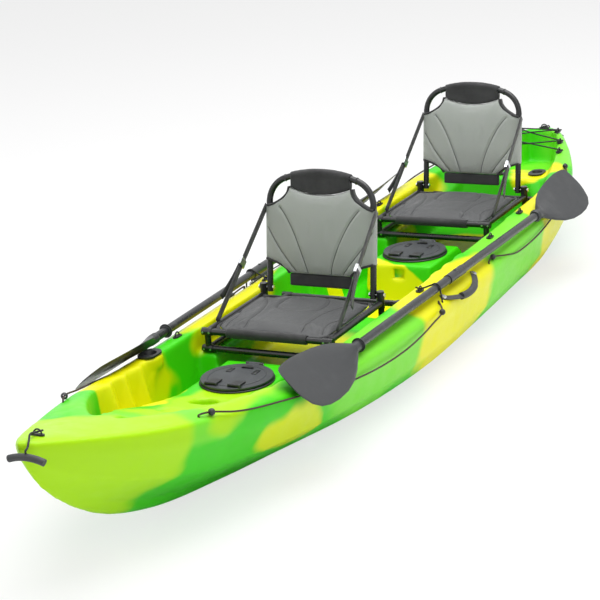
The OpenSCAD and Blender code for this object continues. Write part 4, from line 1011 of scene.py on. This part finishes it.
@dataclass
class Rigging(Maker):
    """Every cord on the boat: shock cords, tank lace, paddle keepers and grip cords."""

    front: list[Point] = field(default_factory=lambda: [
        (1.500, 0.232, 0.3542), (1.500, 0.232, 0.3632), (1.500, 0.232, 0.3732), (1.462, 0.252, 0.3704),
        (1.390, 0.288, 0.349), (1.300, 0.308, 0.328), (1.150, 0.334, 0.302), (1.000, 0.354, 0.276),
        (0.850, 0.371, 0.246), (0.700, 0.384, 0.228), (0.560, 0.394, 0.218), (0.420, 0.401, 0.216),
        (0.300, 0.404, 0.222), (0.190, 0.406, 0.236), (0.116, 0.409, 0.252), (0.076, 0.380, 0.2745),
        (0.076, 0.380, 0.2635), (0.076, 0.380, 0.2545)])
    rear: list[Point] = field(default_factory=lambda: [
        (-0.405, 0.378, 0.2561), (-0.405, 0.378, 0.2651), (-0.405, 0.378, 0.2761), (-0.445, 0.378, 0.2809),
        (-0.540, 0.396, 0.262), (-0.640, 0.398, 0.243), (-0.800, 0.394, 0.238), (-0.960, 0.387, 0.244),
        (-1.120, 0.376, 0.260), (-1.280, 0.359, 0.282), (-1.400, 0.338, 0.306), (-1.535, 0.276, 0.3403),
        (-1.575, 0.262, 0.3396), (-1.575, 0.262, 0.3296), (-1.575, 0.262, 0.3206)])
    lace: list[Point] = field(default_factory=lambda: [
        (-1.7142, 0.2000, 0.3626), (-1.7142, 0.1870, 0.3626), (-1.7805, 0, 0.3715),
        (-1.8296, -0.1490, 0.3718), (-1.8296, -0.1568, 0.3718), (-1.8333, -0.1620, 0.3718),
        (-1.8370, -0.1568, 0.3718), (-1.8370, -0.1490, 0.3718), (-1.9293, 0, 0.3804),
        (-1.9812, 0.0862, 0.3794), (-1.9812, 0.0940, 0.3794), (-1.9849, 0.0992, 0.3794),
        (-1.9886, 0.0940, 0.3794), (-1.9886, 0.0862, 0.3794), (-1.9886, -0.0862, 0.3794),
        (-1.9886, -0.0940, 0.3794), (-1.9849, -0.0992, 0.3794), (-1.9812, -0.0940, 0.3794),
        (-1.9812, -0.0862, 0.3794), (-1.9293, 0, 0.3728), (-1.8370, 0.1490, 0.3718),
        (-1.8370, 0.1568, 0.3718), (-1.8333, 0.1620, 0.3718), (-1.8296, 0.1568, 0.3718),
        (-1.8296, 0.1490, 0.3718), (-1.7805, 0, 0.3639), (-1.7142, -0.1870, 0.3626),
        (-1.7142, -0.2000, 0.3626)])
    keeper: list[Point] = field(default_factory=lambda: [
        (0.050, 0.2849, 0.3116), (0.050, 0.3049, 0.3086), (0.050, 0.3457, 0.3243), (0.050, 0.3542, 0.3292),
        (0.050, 0.3639, 0.3292), (0.050, 0.3723, 0.3243), (0.050, 0.3772, 0.3159), (0.050, 0.3772, 0.3061),
        (0.050, 0.3820, 0.2735), (0.050, 0.3820, 0.2625), (0.050, 0.3820, 0.2535)])
    bow: list[Point] = field(default_factory=lambda: [
        (1.948, 0, 0.4715), (1.975, 0, 0.4773), (2.020, 0.009, 0.489), (2.048, 0.022, 0.482),
        (2.072, 0.032, 0.472), (2.087, 0.035, 0.4691), (2.087, 0.035, 0.4611)])
    stern: list[Point] = field(default_factory=lambda: [
        (-2.030, 0, 0.3791), (-2.052, 0, 0.3776), (-2.080, 0, 0.370), (-2.108, 0, 0.366), (-2.119, 0, 0.354),
        (-2.124, 0, 0.3411), (-2.124, 0, 0.3331)])
    # Points of the keeper that lie over the paddle's shaft
    over_shaft: range = range(2, 8)
    shaft: Point = (0.05, 0.362, 0.3125)
    shaft_grip: float = 0.012
    starboard_lift: float = 0.003
    steps: int = 6

    def build(self) -> None:
        """Make every cord."""
        for side in Side:
            word = side.word
            self._cord(f"{word}_front_shock_cord", mirrored(self.front, side), "braid", f"{word}_bungee")
            self._cord(f"{word}_rear_shock_cord", mirrored(self.rear, side), "braid", f"{word}_bungee")
            self._keeper(side)
        self._cord("tank_lace", self.lace, "lace", "tank_bungee")
        for end, route in (("bow", self.bow), ("stern", self.stern)):
            pull = Pull(f"{end}_toggle", Vector(route[1]), Vector(route[-2]))
            self._cord(f"{end}_grip_cord", route, "lace", f"{end}_toggle_cord", pull)

    def _keeper(self, side: Side) -> None:
        """Lay one paddle's keeper over its shaft, which lies higher to starboard.

        Args:
            side: Which paddle.
        """
        lift = self.starboard_lift if side is Side.STARBOARD else 0.0
        raised = [(x, y, z + (lift if number in self.over_shaft else 0))
                  for number, (x, y, z) in enumerate(self.keeper)]
        x, y, z = self.shaft
        over = Vector((x, side.value * y, z + lift))
        pull = Pull(f"{side.word}_paddle", over, over + Vector((0, 0, self.shaft_grip)))
        self._cord(f"{side.word}_keeper_cord", mirrored(raised, side), "lace",
                   f"{side.word}_paddle_loop", pull)

    def _cord(self, name: str, points: list[Point], finish: str, node: str, pull: Pull | None = None) -> None:
        """Make one cord.

        Args:
            name: Name of the new piece.
            points: Route of the cord.
            finish: Its material.
            node: The solid that it stands for.
            pull: If given, the cord is made as a mesh tube.
        """
        route = rounded_route(points, self.steps)
        if pull:
            piece = self.bench.tube(name, route, CORD_D / 2)
            self.bend(piece, pull, finish, Slot.CORD, node)
        else:
            piece = self.bench.pipe(name, route, CORD_D / 2)
            self.own(piece, "hull", finish, Slot.CORD, node)


SEAT_SHIFT = Vector((-1.401, 0, 0))
SEAT_X = 0.629
RAIL_Z = 0.2418
PIVOT_BACK = 0.418
PIVOT_UP = 0.087


@dataclass(frozen=True)
class Stuffing:
    """How a padded piece is stuffed and how its seams are drawn in."""

    voxel: float
    pressure: float
    most: float
    seam_depth: float
    seam_half: float


@dataclass(frozen=True)
class Pattern:
    """A piece made for the front seat, which both seats get a copy of."""

    piece: Piece
    label: str
    finish: str
    slot: Slot = Slot.BINDING
    folds: bool = False
    node: str | None = None
    fill: float | None = None


@dataclass
class Seats(Maker):
    """Both framed seats: cushions, folding backs, trim and straps."""

    cushion_front: float = -0.0175
    cushion_length: float = 0.378
    cushion_half: float = 0.2125
    cushion_z: float = 0.051
    cushion_held: float = 0.006
    cushion_high: float = 0.05
    cushion_fill: float = 0.75
    cushion_stuffing: Stuffing = Stuffing(voxel=0.008, pressure=4.0, most=0.006, seam_depth=0.005,
                                          seam_half=0.006)
    corner: float = 0.12
    front_draw: float = 0.16
    rear_draw: float = 0.12
    piping_z: float = 0.009
    piping_r: float = 0.0055
    thread_r: float = 0.0011
    piping_shares: tuple[float, ...] = (0, 0.02, 0.05, 0.09, 0.14, 0.3, 0.5, 0.7, 0.86, 0.91, 0.95, 0.98, 1)
    leg_y: float = 0.198
    leg_bore: float = 0.0125
    wrap: float = 0.0128
    panel_foot: float = 0.056
    panel_top: float = 0.358
    panel_thick: float = 0.014
    panel_taper: float = 0.06
    panel_thin: float = 0.55
    panel_front: float = 0.06
    panel_fill: float = 0.55
    panel_rounds: int = 2
    panel_stuffing: Stuffing = Stuffing(voxel=0.007, pressure=3.0, most=0.005, seam_depth=0.004,
                                        seam_half=0.005)
    # The panel swells only within these limits, and is held outside them
    loose_x: float = 0.004
    loose_y: float = 0.196
    loose_foot: float = 0.066
    loose_top: float = 0.33
    corner_points: int = 5
    corner_lift: float = 0.001
    corner_in: float = 0.002
    corner_r: float = 0.0045
    corner_width: float = 0.026
    corner_thick: float = 0.004
    trim_voxel: float = 0.004
    cap_rounds: int = 5
    cap_fill: float = 0.4
    sleeve_rounds: int = 4
    sleeve_fill: float = 0.5
    strap_foot: Point = (-0.070, 0.224, 0.0703)
    strap_up: float = 0.288
    strap_y: float = 0.2104
    strap_width: float = 0.025
    strap_thick: float = 0.0022
    strap_steps: int = 24
    tail_from: float = 0.5
    tail_step: float = 0.02
    tail_points: int = 16
    tail_gap: float = 0.005
    tail_flare: float = 0.00008
    pivot: Vector = field(default_factory=lambda: Vector((SEAT_X - PIVOT_BACK, 0, RAIL_Z + PIVOT_UP)))
    outline: Plan = field(default_factory=lambda: [
        (0.056, 0.118), (0.066, 0.124), (0.080, 0.140), (0.093, 0.168), (0.104, 0.206),
        (0.290, 0.204), (0.294, 0.184), (0.306, 0.160), (0.320, 0.140), (0.338, 0.125), (0.358, 0.119)])
    back_seams: list[Plan] = field(default_factory=lambda: [
        [(0.286, 0.150), (0.25, 0.122), (0.20, 0.094), (0.15, 0.072), (0.10, 0.054), (0.062, 0.044)],
        [(0.215, 0.200), (0.18, 0.178), (0.14, 0.150), (0.10, 0.118), (0.064, 0.090)]])
    cushion_seams: list[Plan] = field(default_factory=lambda: [
        [(0.06, 0.52), (0.22, 0.50), (0.42, 0.52), (0.62, 0.60), (0.80, 0.76), (0.90, 0.93)],
        [(0.97, 0.0), (0.94, 0.16), (0.85, 0.32), (0.72, 0.40), (0.56, 0.36), (0.48, 0.20), (0.46, 0.0)],
        [(0.08, 0.86), (0.22, 0.80), (0.36, 0.84), (0.46, 0.95)]])
    seam_steps: int = 5
    edge_steps: int = 4
    lean: Matrix = field(init=False)
    facing: Vector = field(init=False)

    def __post_init__(self) -> None:
        """Work out the leaning frame of the back and the direction into its face."""
        self.lean = Matrix.Translation(self.pivot) @ Matrix.Rotation(-BACK_LEAN, 4, "Y")
        self.facing = (self.lean.to_3x3() @ Vector((-1, 0, 0))).normalized()

    def build(self) -> None:
        """Make the patterns on the front seat, then copy them to both seats."""
        patterns = self._patterns()
        for end, by in (("front", Vector()), ("rear", SEAT_SHIFT)):
            for pattern in patterns:
                self._place(pattern, end, by)
            cap = self.bench.soft(f"{end}_cap_and_band", f"{end}_back_trim", self.trim_voxel, self.cap_rounds)
            self.own(cap, f"{end}_back", "binding", Slot.BINDING, f"{end}_back_trim")
            sleeve = self.bench.soft(f"{end}_soft_sleeve", f"{end}_seat_sleeve", self.trim_voxel,
                                     self.sleeve_rounds)
            self.own(sleeve, "hull", "binding", Slot.BINDING, f"{end}_seat_sleeve")
            for side in Side:
                self._strap(end, side, by)
        for pattern in patterns:
            bpy.data.objects.remove(pattern.piece)

    def _patterns(self) -> list[Pattern]:
        """Make every piece that both seats share.

        Returns:
            The cushion, the mesh back and the trim of each.
        """
        seat_lines = self._both_sides(self.cushion_seams, lambda share, part: self._on_cushion(
            share, part, self.cushion_high))
        back_lines = self._both_sides(self.back_seams, lambda up, across: self._on_back(
            self.panel_front, across, up))
        cushion, panel = self._cushion(seat_lines), self._panel(back_lines)
        seat_trim = [self._piping(), *self._threads(cushion, seat_lines, DOWN)]
        back_trim = [*self._threads(panel, back_lines, self.facing), *self._corners()]
        return [
            Pattern(cushion, "cushion", "pad", Slot.CLOTH, False, "seat_cushion", self.cushion_fill),
            Pattern(panel, "mesh_back", "mesh", Slot.CLOTH, True, "back_panel", self.panel_fill),
            *(Pattern(piece, f"cushion_trim_{number}", "binding") for number, piece in enumerate(seat_trim)),
            *(Pattern(piece, f"back_trim_{number}", "binding", folds=True)
              for number, piece in enumerate(back_trim))]

    def _place(self, pattern: Pattern, end: str, by: Vector) -> None:
        """Copy a pattern to one seat.

        Args:
            pattern: The pattern.
            end: Which seat.
            by: Shift from the front seat.
        """
        made = self.bench.shifted(pattern.piece, f"{end}_{pattern.label}", by)
        body = f"{end}_back" if pattern.folds else "hull"
        self.own(made, body, pattern.finish, pattern.slot, pattern.node and f"{end}_{pattern.node}")

    def _both_sides(self, seams: list[Plan], place: Callable[[float, float], Vector]) -> list[list[Vector]]:
        """Run each seam as a smooth line, and mirror it.

        Args:
            seams: Points of each seam, along and across the piece.
            place: Turns such a point into a place in space.

        Returns:
            The lines, port before starboard.
        """
        return [rounded_route([place(along, side.value * across) for along, across in seam], self.seam_steps)
                for seam in seams for side in Side]

    def _plan(self, share: float) -> float:
        """Half width of the cushion at a share of its length from the front.

        Args:
            share: Share of the length, 0 at the front.

        Returns:
            The half width there.
        """
        front = max(0.0, 1 - share / self.corner) ** 2
        rear = max(0.0, 1 - (1 - share) / self.corner) ** 2
        return self.cushion_half * (1 - self.front_draw * front - self.rear_draw * rear)

    def _on_cushion(self, share: float, part: float, height: float) -> Vector:
        """Point of the cushion by share of length, share of half width and height over its underside."""
        return Vector((SEAT_X + self.cushion_front - share * self.cushion_length, part * self._plan(share),
                       RAIL_Z + self.cushion_z + height))

    def _stuff(self, piece: Piece, held: list[int], lines: list[list[Vector]], inward: Vector,
               stuffing: Stuffing) -> None:
        """Blow a piece up and draw its seams in.

        Args:
            piece: The piece, covered with even faces.
            held: Vertices that stay in place.
            lines: Its seams.
            inward: Direction into its face.
            stuffing: How it is stuffed.
        """
        self.bench.swell(piece, held, stuffing.pressure, stuffing.most)
        self.bench.modify(piece, "SUBSURF", levels=1)
        self.bench.sew(piece, lines, inward, stuffing.seam_depth, stuffing.seam_half)

    def _cushion(self, lines: list[list[Vector]]) -> Piece:
        """Stuff the seat cushion, held at its underside.

        Args:
            lines: Its seams.

        Returns:
            The stuffed piece.
        """
        piece = self.bench.finish("cushion_pattern", self.bench.copy("front_seat_cushion"))
        self.bench.remesh(piece, self.cushion_stuffing.voxel)
        floor = RAIL_Z + self.cushion_z + self.cushion_held
        held = [v.index for v in piece.data.vertices if v.co.z < floor]
        self._stuff(piece, held, lines, DOWN, self.cushion_stuffing)
        self.bench.shade(piece)
        return piece

    def _piping(self) -> Piece:
        """Run piping round the cushion.

        Returns:
            The piping.
        """
        ring = [self._on_cushion(share, 1, self.piping_z) for share in self.piping_shares]
        ring += [self._on_cushion(share, -1, self.piping_z) for share in reversed(self.piping_shares)]
        return self.bench.tube("piping", rounded_route([*ring, ring[0]], self.edge_steps), self.piping_r)

    def _threads(self, piece: Piece, lines: list[list[Vector]], inward: Vector) -> list[Piece]:
        """Lay thread along the seams of a padded piece."""
        laid = [self.bench.project(piece, line, inward) for line in lines]
        return [self.bench.tube("thread", route, self.thread_r) for route in laid]

    def _on_back(self, out: float, across: float, up: float) -> Vector:
        """Point of the back by distance in front of its tubes, across it and up it."""
        return self.lean @ Vector((out, across, up))

    def _from_tube(self, spot: Vector) -> Vector:
        """Offset of a spot on the back from the middle of the nearer leg tube."""
        return Vector((spot.x, abs(spot.y) - self.leg_y))

    def _panel(self, lines: list[list[Vector]]) -> Piece:
        """Stuff the mesh back, held at its edges, and wrap it round the leg tubes.

        Args:
            lines: Its seams.

        Returns:
            The stuffed piece.
        """
        flat = self.lean.inverted()
        bm = self.bench.copy("front_back_panel")
        sleeve = [f for f in bm.faces
                  if all(self._from_tube(flat @ v.co).length < self.leg_bore for v in f.verts)]
        bmesh.ops.delete(bm, geom=sleeve, context="FACES")
        self.bench.close(bm)
        piece = self.bench.finish("panel_pattern", bm)
        self.bench.remesh(piece, self.panel_stuffing.voxel)
        self.bench.relax(piece, self.panel_rounds)
        held = [v.index for v in piece.data.vertices
                if (flat @ v.co).x < self.loose_x or abs(v.co.y) > self.loose_y
                or not self.loose_foot < (flat @ v.co).z < self.loose_top]
        self._stuff(piece, held, lines, self.facing, self.panel_stuffing)
        for vertex in piece.data.vertices:
            spot = flat @ vertex.co
            off = self._from_tube(spot)
            if 0 < off.length < self.wrap:
                off *= self.wrap / off.length
                vertex.co = self._on_back(off.x, math.copysign(self.leg_y + off.y, spot.y), spot.z)
        self.bench.shade(piece)
        return piece

    def _corners(self) -> list[Piece]:
        """Bind and pipe the four drawn-in corners of the back.

        Returns:
            A binding and a piping for each corner.
        """
        trim = []
        across = self.lean.to_3x3() @ Vector((1, 0, 0))
        for part in (self.outline[:self.corner_points], self.outline[self.corner_points:]):
            for side in Side:
                edge = [self._on_back(self.corner_lift, side.value * (y + self.corner_lift), up)
                        for up, y in part]
                trim.append(self.bench.strip("corner_binding", rounded_route(edge, self.edge_steps), across,
                                             self.corner_width, self.corner_thick))
                front = [self._on_back(self.panel_thick * self._full(up),
                                       side.value * (y - self.corner_in), up) for up, y in part]
                trim.append(self.bench.tube("corner_piping", rounded_route(front, self.edge_steps),
                                            self.corner_r))
        return trim

    def _full(self, up: float) -> float:
        """Share of the panel's full thickness at a height on the back."""
        return min(1.0, self.panel_thin + (up - self.panel_foot) / self.panel_taper,
                   self.panel_thin + (self.panel_top - up) / self.panel_taper)

    def _strap(self, end: str, side: Side, by: Vector) -> None:
        """Run one side strap with its buckle and its loose tail.

        Args:
            end: Which seat.
            side: Which side of it.
            by: Shift from the front seat.
        """
        base = Vector((SEAT_X, 0, RAIL_Z)) + by
        x, y, z = self.strap_foot
        foot = base + Vector((x, side.value * y, z))
        top = base + Vector((-PIVOT_BACK - self.strap_up * math.sin(BACK_LEAN), side.value * self.strap_y,
                             PIVOT_UP + self.strap_up * math.cos(BACK_LEAN)))
        along = (top - foot).normalized()
        across = Vector((-along.z, 0, along.x))
        out = Vector((0, side.value, 0))
        route = [foot.lerp(top, i / self.strap_steps) for i in range(self.strap_steps + 1)]
        tail = [foot.lerp(top, self.tail_from - self.tail_step * i)
                + out * (self.tail_gap + self.tail_flare * i * i) for i in range(self.tail_points)]
        name = f"{end}_{side.word}"
        strap = self.bench.strip(f"{name}_strap", route, across, self.strap_width, self.strap_thick)
        loose = self.bench.strip(f"{name}_strap_tail", tail, across, self.strap_width, self.strap_thick)
        pull = Pull(f"{end}_back", foot, top)
        self.bend(strap, pull, "webbing", Slot.BINDING, f"{end}_seat_straps")
        self.bend(loose, pull, "webbing", Slot.BINDING)
        self.bend(self._buckle(end, side), pull, "metal", Slot.METAL, f"{end}_seat_buckles")
        LOG.info("%s strap, %.3f m", name, (top - foot).length)

    def _buckle(self, end: str, side: Side) -> Piece:
        """Copy one buckle from the solid that holds both.

        Args:
            end: Which seat.
            side: Which side of it.

        Returns:
            The buckle.
        """
        bm = self.bench.copy(f"{end}_seat_buckles")
        other = [v for v in bm.verts if v.co.y * side.value < 0]
        bmesh.ops.delete(bm, geom=other, context="VERTS")
        return self.bench.finish(f"{end}_{side.word}_buckle", bm, smooth=False)


@dataclass
class Paddles(Maker):
    """Blades of both paddles, rounded and ribbed."""

    middle: Point = (-0.120, 0.3625, 0.311)
    yaw: float = math.radians(1.17)
    start: float = 0.785
    tilt: dict[Side, float] = field(default_factory=lambda: {
        Side.PORT: math.radians(45), Side.STARBOARD: math.radians(38)})
    lift: float = 0.003
    slide: float = 0.1
    rib: float = 0.007
    rib_start: float = 0.04
    rib_rise: float = 0.05
    rib_end: float = 0.36
    rib_tip: float = 0.004
    rib_spread: float = 0.011
    facing: float = 0.3
    cuts: int = 3

    def build(self) -> None:
        """Make the four blades, as one piece on each paddle."""
        for side in Side:
            bm = self.bench.copy(f"{side.word}_paddle_blades")
            bmesh.ops.subdivide_edges(bm, edges=bm.edges, cuts=self.cuts, use_grid_fill=True)
            piece = self.bench.finish(f"{side.word}_blade_pair", bm)
            self._raise_rib(piece, side)
            self.bench.shade(piece)
            self.own(piece, f"{side.word}_paddle", "blade", Slot.GREY, f"{side.word}_paddle_blades")

    def _frame(self, side: Side) -> Matrix:
        """Place of the blades: along the shaft in X, across the blade in Y, out of its face in Z.

        Args:
            side: Which paddle.

        Returns:
            The frame of its blades.
        """
        place = (Matrix.Translation(self.middle) @ Matrix.Rotation(-self.yaw, 4, "Z")
                 @ Matrix.Translation((self.slide if side is Side.STARBOARD else 0, 0, 0))
                 @ Matrix.Rotation(-self.tilt[side], 4, "X"))
        if side is Side.PORT:
            return place
        return Matrix.Translation((0, 0, self.lift)) @ Matrix.Diagonal((1, -1, 1, 1)) @ place

    def _raise_rib(self, piece: Piece, side: Side) -> None:
        """Push a tapering rib out of the back of each blade.

        Args:
            piece: The blades.
            side: Which paddle.
        """
        frame = self._frame(side)
        flat = frame.inverted()
        out = (frame.to_3x3() @ DOWN).normalized()
        for vertex in [v for v in piece.data.vertices if v.normal.dot(out) > self.facing]:
            spot = flat @ vertex.co
            along = abs(spot.x) - self.start - self.rib_start
            if along > 0:
                fade = max(0.0, 1 - along / self.rib_end)
                breadth = self.rib_tip + self.rib_spread * fade
                height = self.rib * min(1.0, along / self.rib_rise) * fade ** 0.5
                vertex.co += out * height * math.exp(-(spot.y / breadth) ** 2)


@dataclass
class Handles(Maker):
    """Straps of the side handles, each cut in two halves at the grip."""

    middle_x: float = -0.120
    anchor: Point = (0.140, 0.374, 0.270)
    grip: Point = (0.060, 0.410, 0.250)

    def build(self) -> None:
        """Split each strap at the grip's middle."""
        for side in Side:
            node = f"{side.word}_handle_strap"
            for label, sign in (("fore", 1), ("aft", -1)):
                bm = self.bench.copy(node)
                self.bench.halve(bm, Vector((self.middle_x, 0, 0)), Vector((sign, 0, 0)))
                piece = self.bench.finish(f"{side.word}_handle_{label}_strap", bm, smooth=False)
                start, end = ((self.middle_x + sign * x, side.value * y, z)
                              for x, y, z in (self.anchor, self.grip))
                self.bend(piece, Pull(f"{side.word}_handle", start, end), "webbing", Slot.BINDING, node)


@dataclass
class Hatches(Maker):
    """Moulded details on the two hatch lids."""

    middles: dict[str, float] = field(default_factory=lambda: {"front": 0.852, "rear": -0.596})
    bead: float = 0.094
    bead_r: float = 0.0016
    bead_steps: int = 64
    strip_from: float = -0.062
    strip_step: float = 0.012
    strip_points: int = 4
    strip_y: float = 0.046
    strip_lift: float = 0.0008
    strip_width: float = 0.016
    strip_thick: float = 0.0022
    tab_x: float = -0.072
    tab_foot: float = 0.022
    tab_top: float = 0.019
    tab_thick: float = 0.005
    tab_lift: float = 0.0015

    def build(self) -> None:
        """Put a bead, two strips and a tab on each lid."""
        for end, x in self.middles.items():
            lid = self.bench.nodes[f"{end}_hatch_lid"]
            tree = BVHTree.FromObject(lid, bpy.context.evaluated_depsgraph_get())
            middle = Vector((x, 0, tree.ray_cast(Vector((x, 0, 1)), DOWN)[0].z))
            parts = [(self._bead(f"{end}_lid_bead", middle), "lid"),
                     (self._tab(f"{end}_lid_tab", middle), "black"),
                     *((self._strip(f"{end}_lid_{side.word}_strip", middle, side), "black") for side in Side)]
            for piece, finish in parts:
                self.own(piece, f"{end}_lid", finish, Slot.GREY)

    def _bead(self, name: str, middle: Vector) -> Piece:
        """Run a round bead about the middle of a lid.

        Args:
            name: Name of the new piece.
            middle: Middle of the lid's top.

        Returns:
            The bead.
        """
        turns = [math.tau * step / self.bead_steps for step in range(self.bead_steps + 1)]
        ring = [middle + self.bead * Vector((math.cos(turn), math.sin(turn), 0)) for turn in turns]
        return self.bench.tube(name, ring, self.bead_r)

    def _strip(self, name: str, middle: Vector, side: Side) -> Piece:
        """Lay a short strip on one side of a lid.

        Args:
            name: Name of the new piece.
            middle: Middle of the lid's top.
            side: Which side of it.

        Returns:
            The strip.
        """
        route = [middle + Vector((self.strip_from + self.strip_step * step, side.value * self.strip_y,
                                  self.strip_lift)) for step in range(self.strip_points)]
        return self.bench.strip(name, route, Vector((0, 1, 0)), self.strip_width, self.strip_thick)

    def _tab(self, name: str, middle: Vector) -> Piece:
        """Make a half-moon tab, round side aft.

        Args:
            name: Name of the new piece.
            middle: Middle of the lid's top.

        Returns:
            The tab.
        """
        place = middle + Vector((self.tab_x, 0, self.tab_lift))
        bm = bmesh.new()
        bmesh.ops.create_cone(bm, cap_ends=True, segments=ROUND, radius1=self.tab_foot, radius2=self.tab_top,
                              depth=self.tab_thick, matrix=Matrix.Translation(place))
        self.bench.halve(bm, place, Vector((-1, 0, 0)))
        return self.bench.finish(name, bm, smooth=False)


@dataclass(frozen=True)
class Hole:
    """A round hole in the hull."""

    mouth: Point
    radius: float
    depth: float
    lean: float = 0.0
    rise: float = 0.02
    slack: float = 0.0006

    def axis(self) -> Vector:
        """Direction out of the hole's mouth."""
        return Vector((-math.sin(self.lean), 0, math.cos(self.lean)))

    def split(self, point: Vector) -> tuple[float, Vector]:
        """Place of a point along the hole's axis from its mouth, and its offset from the axis.

        Args:
            point: The point.

        Returns:
            The distance along the axis, and the offset.
        """
        away = point - Vector(self.mouth)
        along = away.dot(self.axis())
        return along, away - along * self.axis()

    def holds(self, point: Vector) -> bool:
        """Whether a point is in the hole or on its wall."""
        along, off = self.split(point)
        return -self.depth <= along <= self.rise and off.length < self.radius + self.slack


ROD_LEAN = math.radians(25)


@dataclass
class Hull(Maker):
    """The moulded hull, rounded as a moulding is."""

    voxel: float = 0.0075
    rounds: int = 5
    kept: float = 0.3
    last_rounds: int = 2
    hatches: tuple[Hole, ...] = tuple(Hole((x, 0, 0.226), 0.1045, 0.16) for x in (0.852, -0.596))
    rods: tuple[Hole, ...] = tuple(Hole((x, s * y, z), 0.0249, 0.145, ROD_LEAN)
                                   for x, y, z in ((0.915, 0.280, 0.311), (-1.540, 0.150, 0.303))
                                   for s in (1, -1))
    drain: Hole = Hole((-1.510, 0, 0.300), 0.0124, 0.045)
    cover: float = 0.031
    cover_past: float = 0.01
    cover_top: float = 0.02
    cutter_rise: float = 0.03
    niche: Point = (-0.440, 0.0, 0.192)
    niche_size: Point = (0.024, 0.044, 0.036)

    def build(self) -> None:
        """Make the hull from its solid."""
        piece = self.bench.finish("moulded_hull", self._skin())
        self.bench.remesh(piece, self.voxel)
        self.bench.relax(piece, self.rounds)
        self.bench.modify(piece, "DECIMATE", ratio=self.kept)
        self.bench.relax(piece, self.last_rounds)
        self._cover_rods(piece)
        self.bench.cut(piece, self._cutter())
        self.bench.shade(piece)
        self.own(piece, "hull", "hull", Slot.HULL, "hull_body")
        LOG.info("hull has %d faces", len(piece.data.polygons))

    @property
    def holes(self) -> list[Hole]:
        """Every round hole."""
        return [*self.hatches, *self.rods, self.drain]

    def _skin(self) -> bmesh.types.BMesh:
        """Copy the solid's outer skin, without its hollow and its round holes.

        Returns:
            A closed mesh.
        """
        bm = self.bench.copy("hull_body")
        inside = [f for f in bm.faces if any(hole.holds(f.calc_center_median()) for hole in self.holes)]
        bmesh.ops.delete(bm, geom=inside, context="FACES")
        start = max(bm.verts, key=lambda v: v.co.x)
        seen, waiting = {start}, [start]
        while waiting:
            for edge in waiting.pop().link_edges:
                for vertex in edge.verts:
                    if edge.link_faces and vertex not in seen:
                        seen.add(vertex)
                        waiting.append(vertex)
        bmesh.ops.delete(bm, geom=[v for v in bm.verts if v not in seen], context="VERTS")
        self.bench.close(bm)
        bmesh.ops.recalc_face_normals(bm, faces=bm.faces)
        return bm

    def _cover_rods(self, piece: Piece) -> None:
        """Swell the skin where it comes too near a rod holder's tube.

        Args:
            piece: The hull.
        """
        for rod in self.rods:
            for vertex in piece.data.vertices:
                along, off = rod.split(vertex.co)
                if (-rod.depth - self.cover_past < along < -self.cover_top
                        and 0 < off.length < self.cover):
                    vertex.co += off * (self.cover / off.length - 1)

    def _cutter(self) -> Piece:
        """Bars that open the hatches, the rod holders, the drain and the console's niche again.

        Returns:
            The bars as one object.
        """
        bm = bmesh.new()
        for hole in self.holes:
            middle = Vector(hole.mouth) + hole.axis() * (self.cutter_rise - hole.depth) / 2
            place = Matrix.Translation(middle) @ Matrix.Rotation(-hole.lean, 4, "Y")
            bmesh.ops.create_cone(bm, cap_ends=True, segments=ROUND, radius1=hole.radius, radius2=hole.radius,
                                  depth=hole.depth + self.cutter_rise, matrix=place)
        niche = Matrix.Translation(self.niche) @ Matrix.Diagonal((*self.niche_size, 1))
        bmesh.ops.create_cube(bm, matrix=niche)
        return self.bench.finish("hull_cutter", bm)


SOLID_FINISHES = {
    "black": ("drain_plug", "rod_holders", "gunwale_eyes", "pad_eyes", "bungee_balls", "*_hatch_rim",
              "*_latch_*"),
    "lid": ("*_hatch_lid",),
    "shaft": ("*_shaft", "*_ferrule"),
    "tube": ("*_seat_base", "*_back_frame"),
    "rubber": ("*_hatch_seal", "*_handle_grip", "*_toggle_grip", "*_paddle_rings"),
    "metal": ("handle_anchors", "*_hatch_pin", "*_seat_rivets"),
}


def dress_solids(bench: Bench, wardrobe: Wardrobe) -> None:
    """Give the solids that stay in view their finishes.

    Args:
        bench: Holder of the solids.
        wardrobe: The materials.
    """
    for finish, patterns in SOLID_FINISHES.items():
        for name, solid in bench.nodes.items():
            if any(fnmatch(name, pattern) for pattern in patterns):
                wardrobe.dress(solid, finish)


def main() -> None:
    """Build the studio and the boat, and log each maker as it is done."""
    logging.basicConfig(level=logging.INFO, format="%(message)s")
    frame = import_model()
    bench = Bench(frame)
    wardrobe = Wardrobe()
    Camera().build()
    Studio().build()
    for maker in (Rigging, Hull, Seats, Paddles, Handles, Hatches):
        maker(wardrobe, bench).build()
        LOG.info("%s done", maker.__name__.lower())
    dress_solids(bench, wardrobe)


if __name__ == "__main__":
    main()
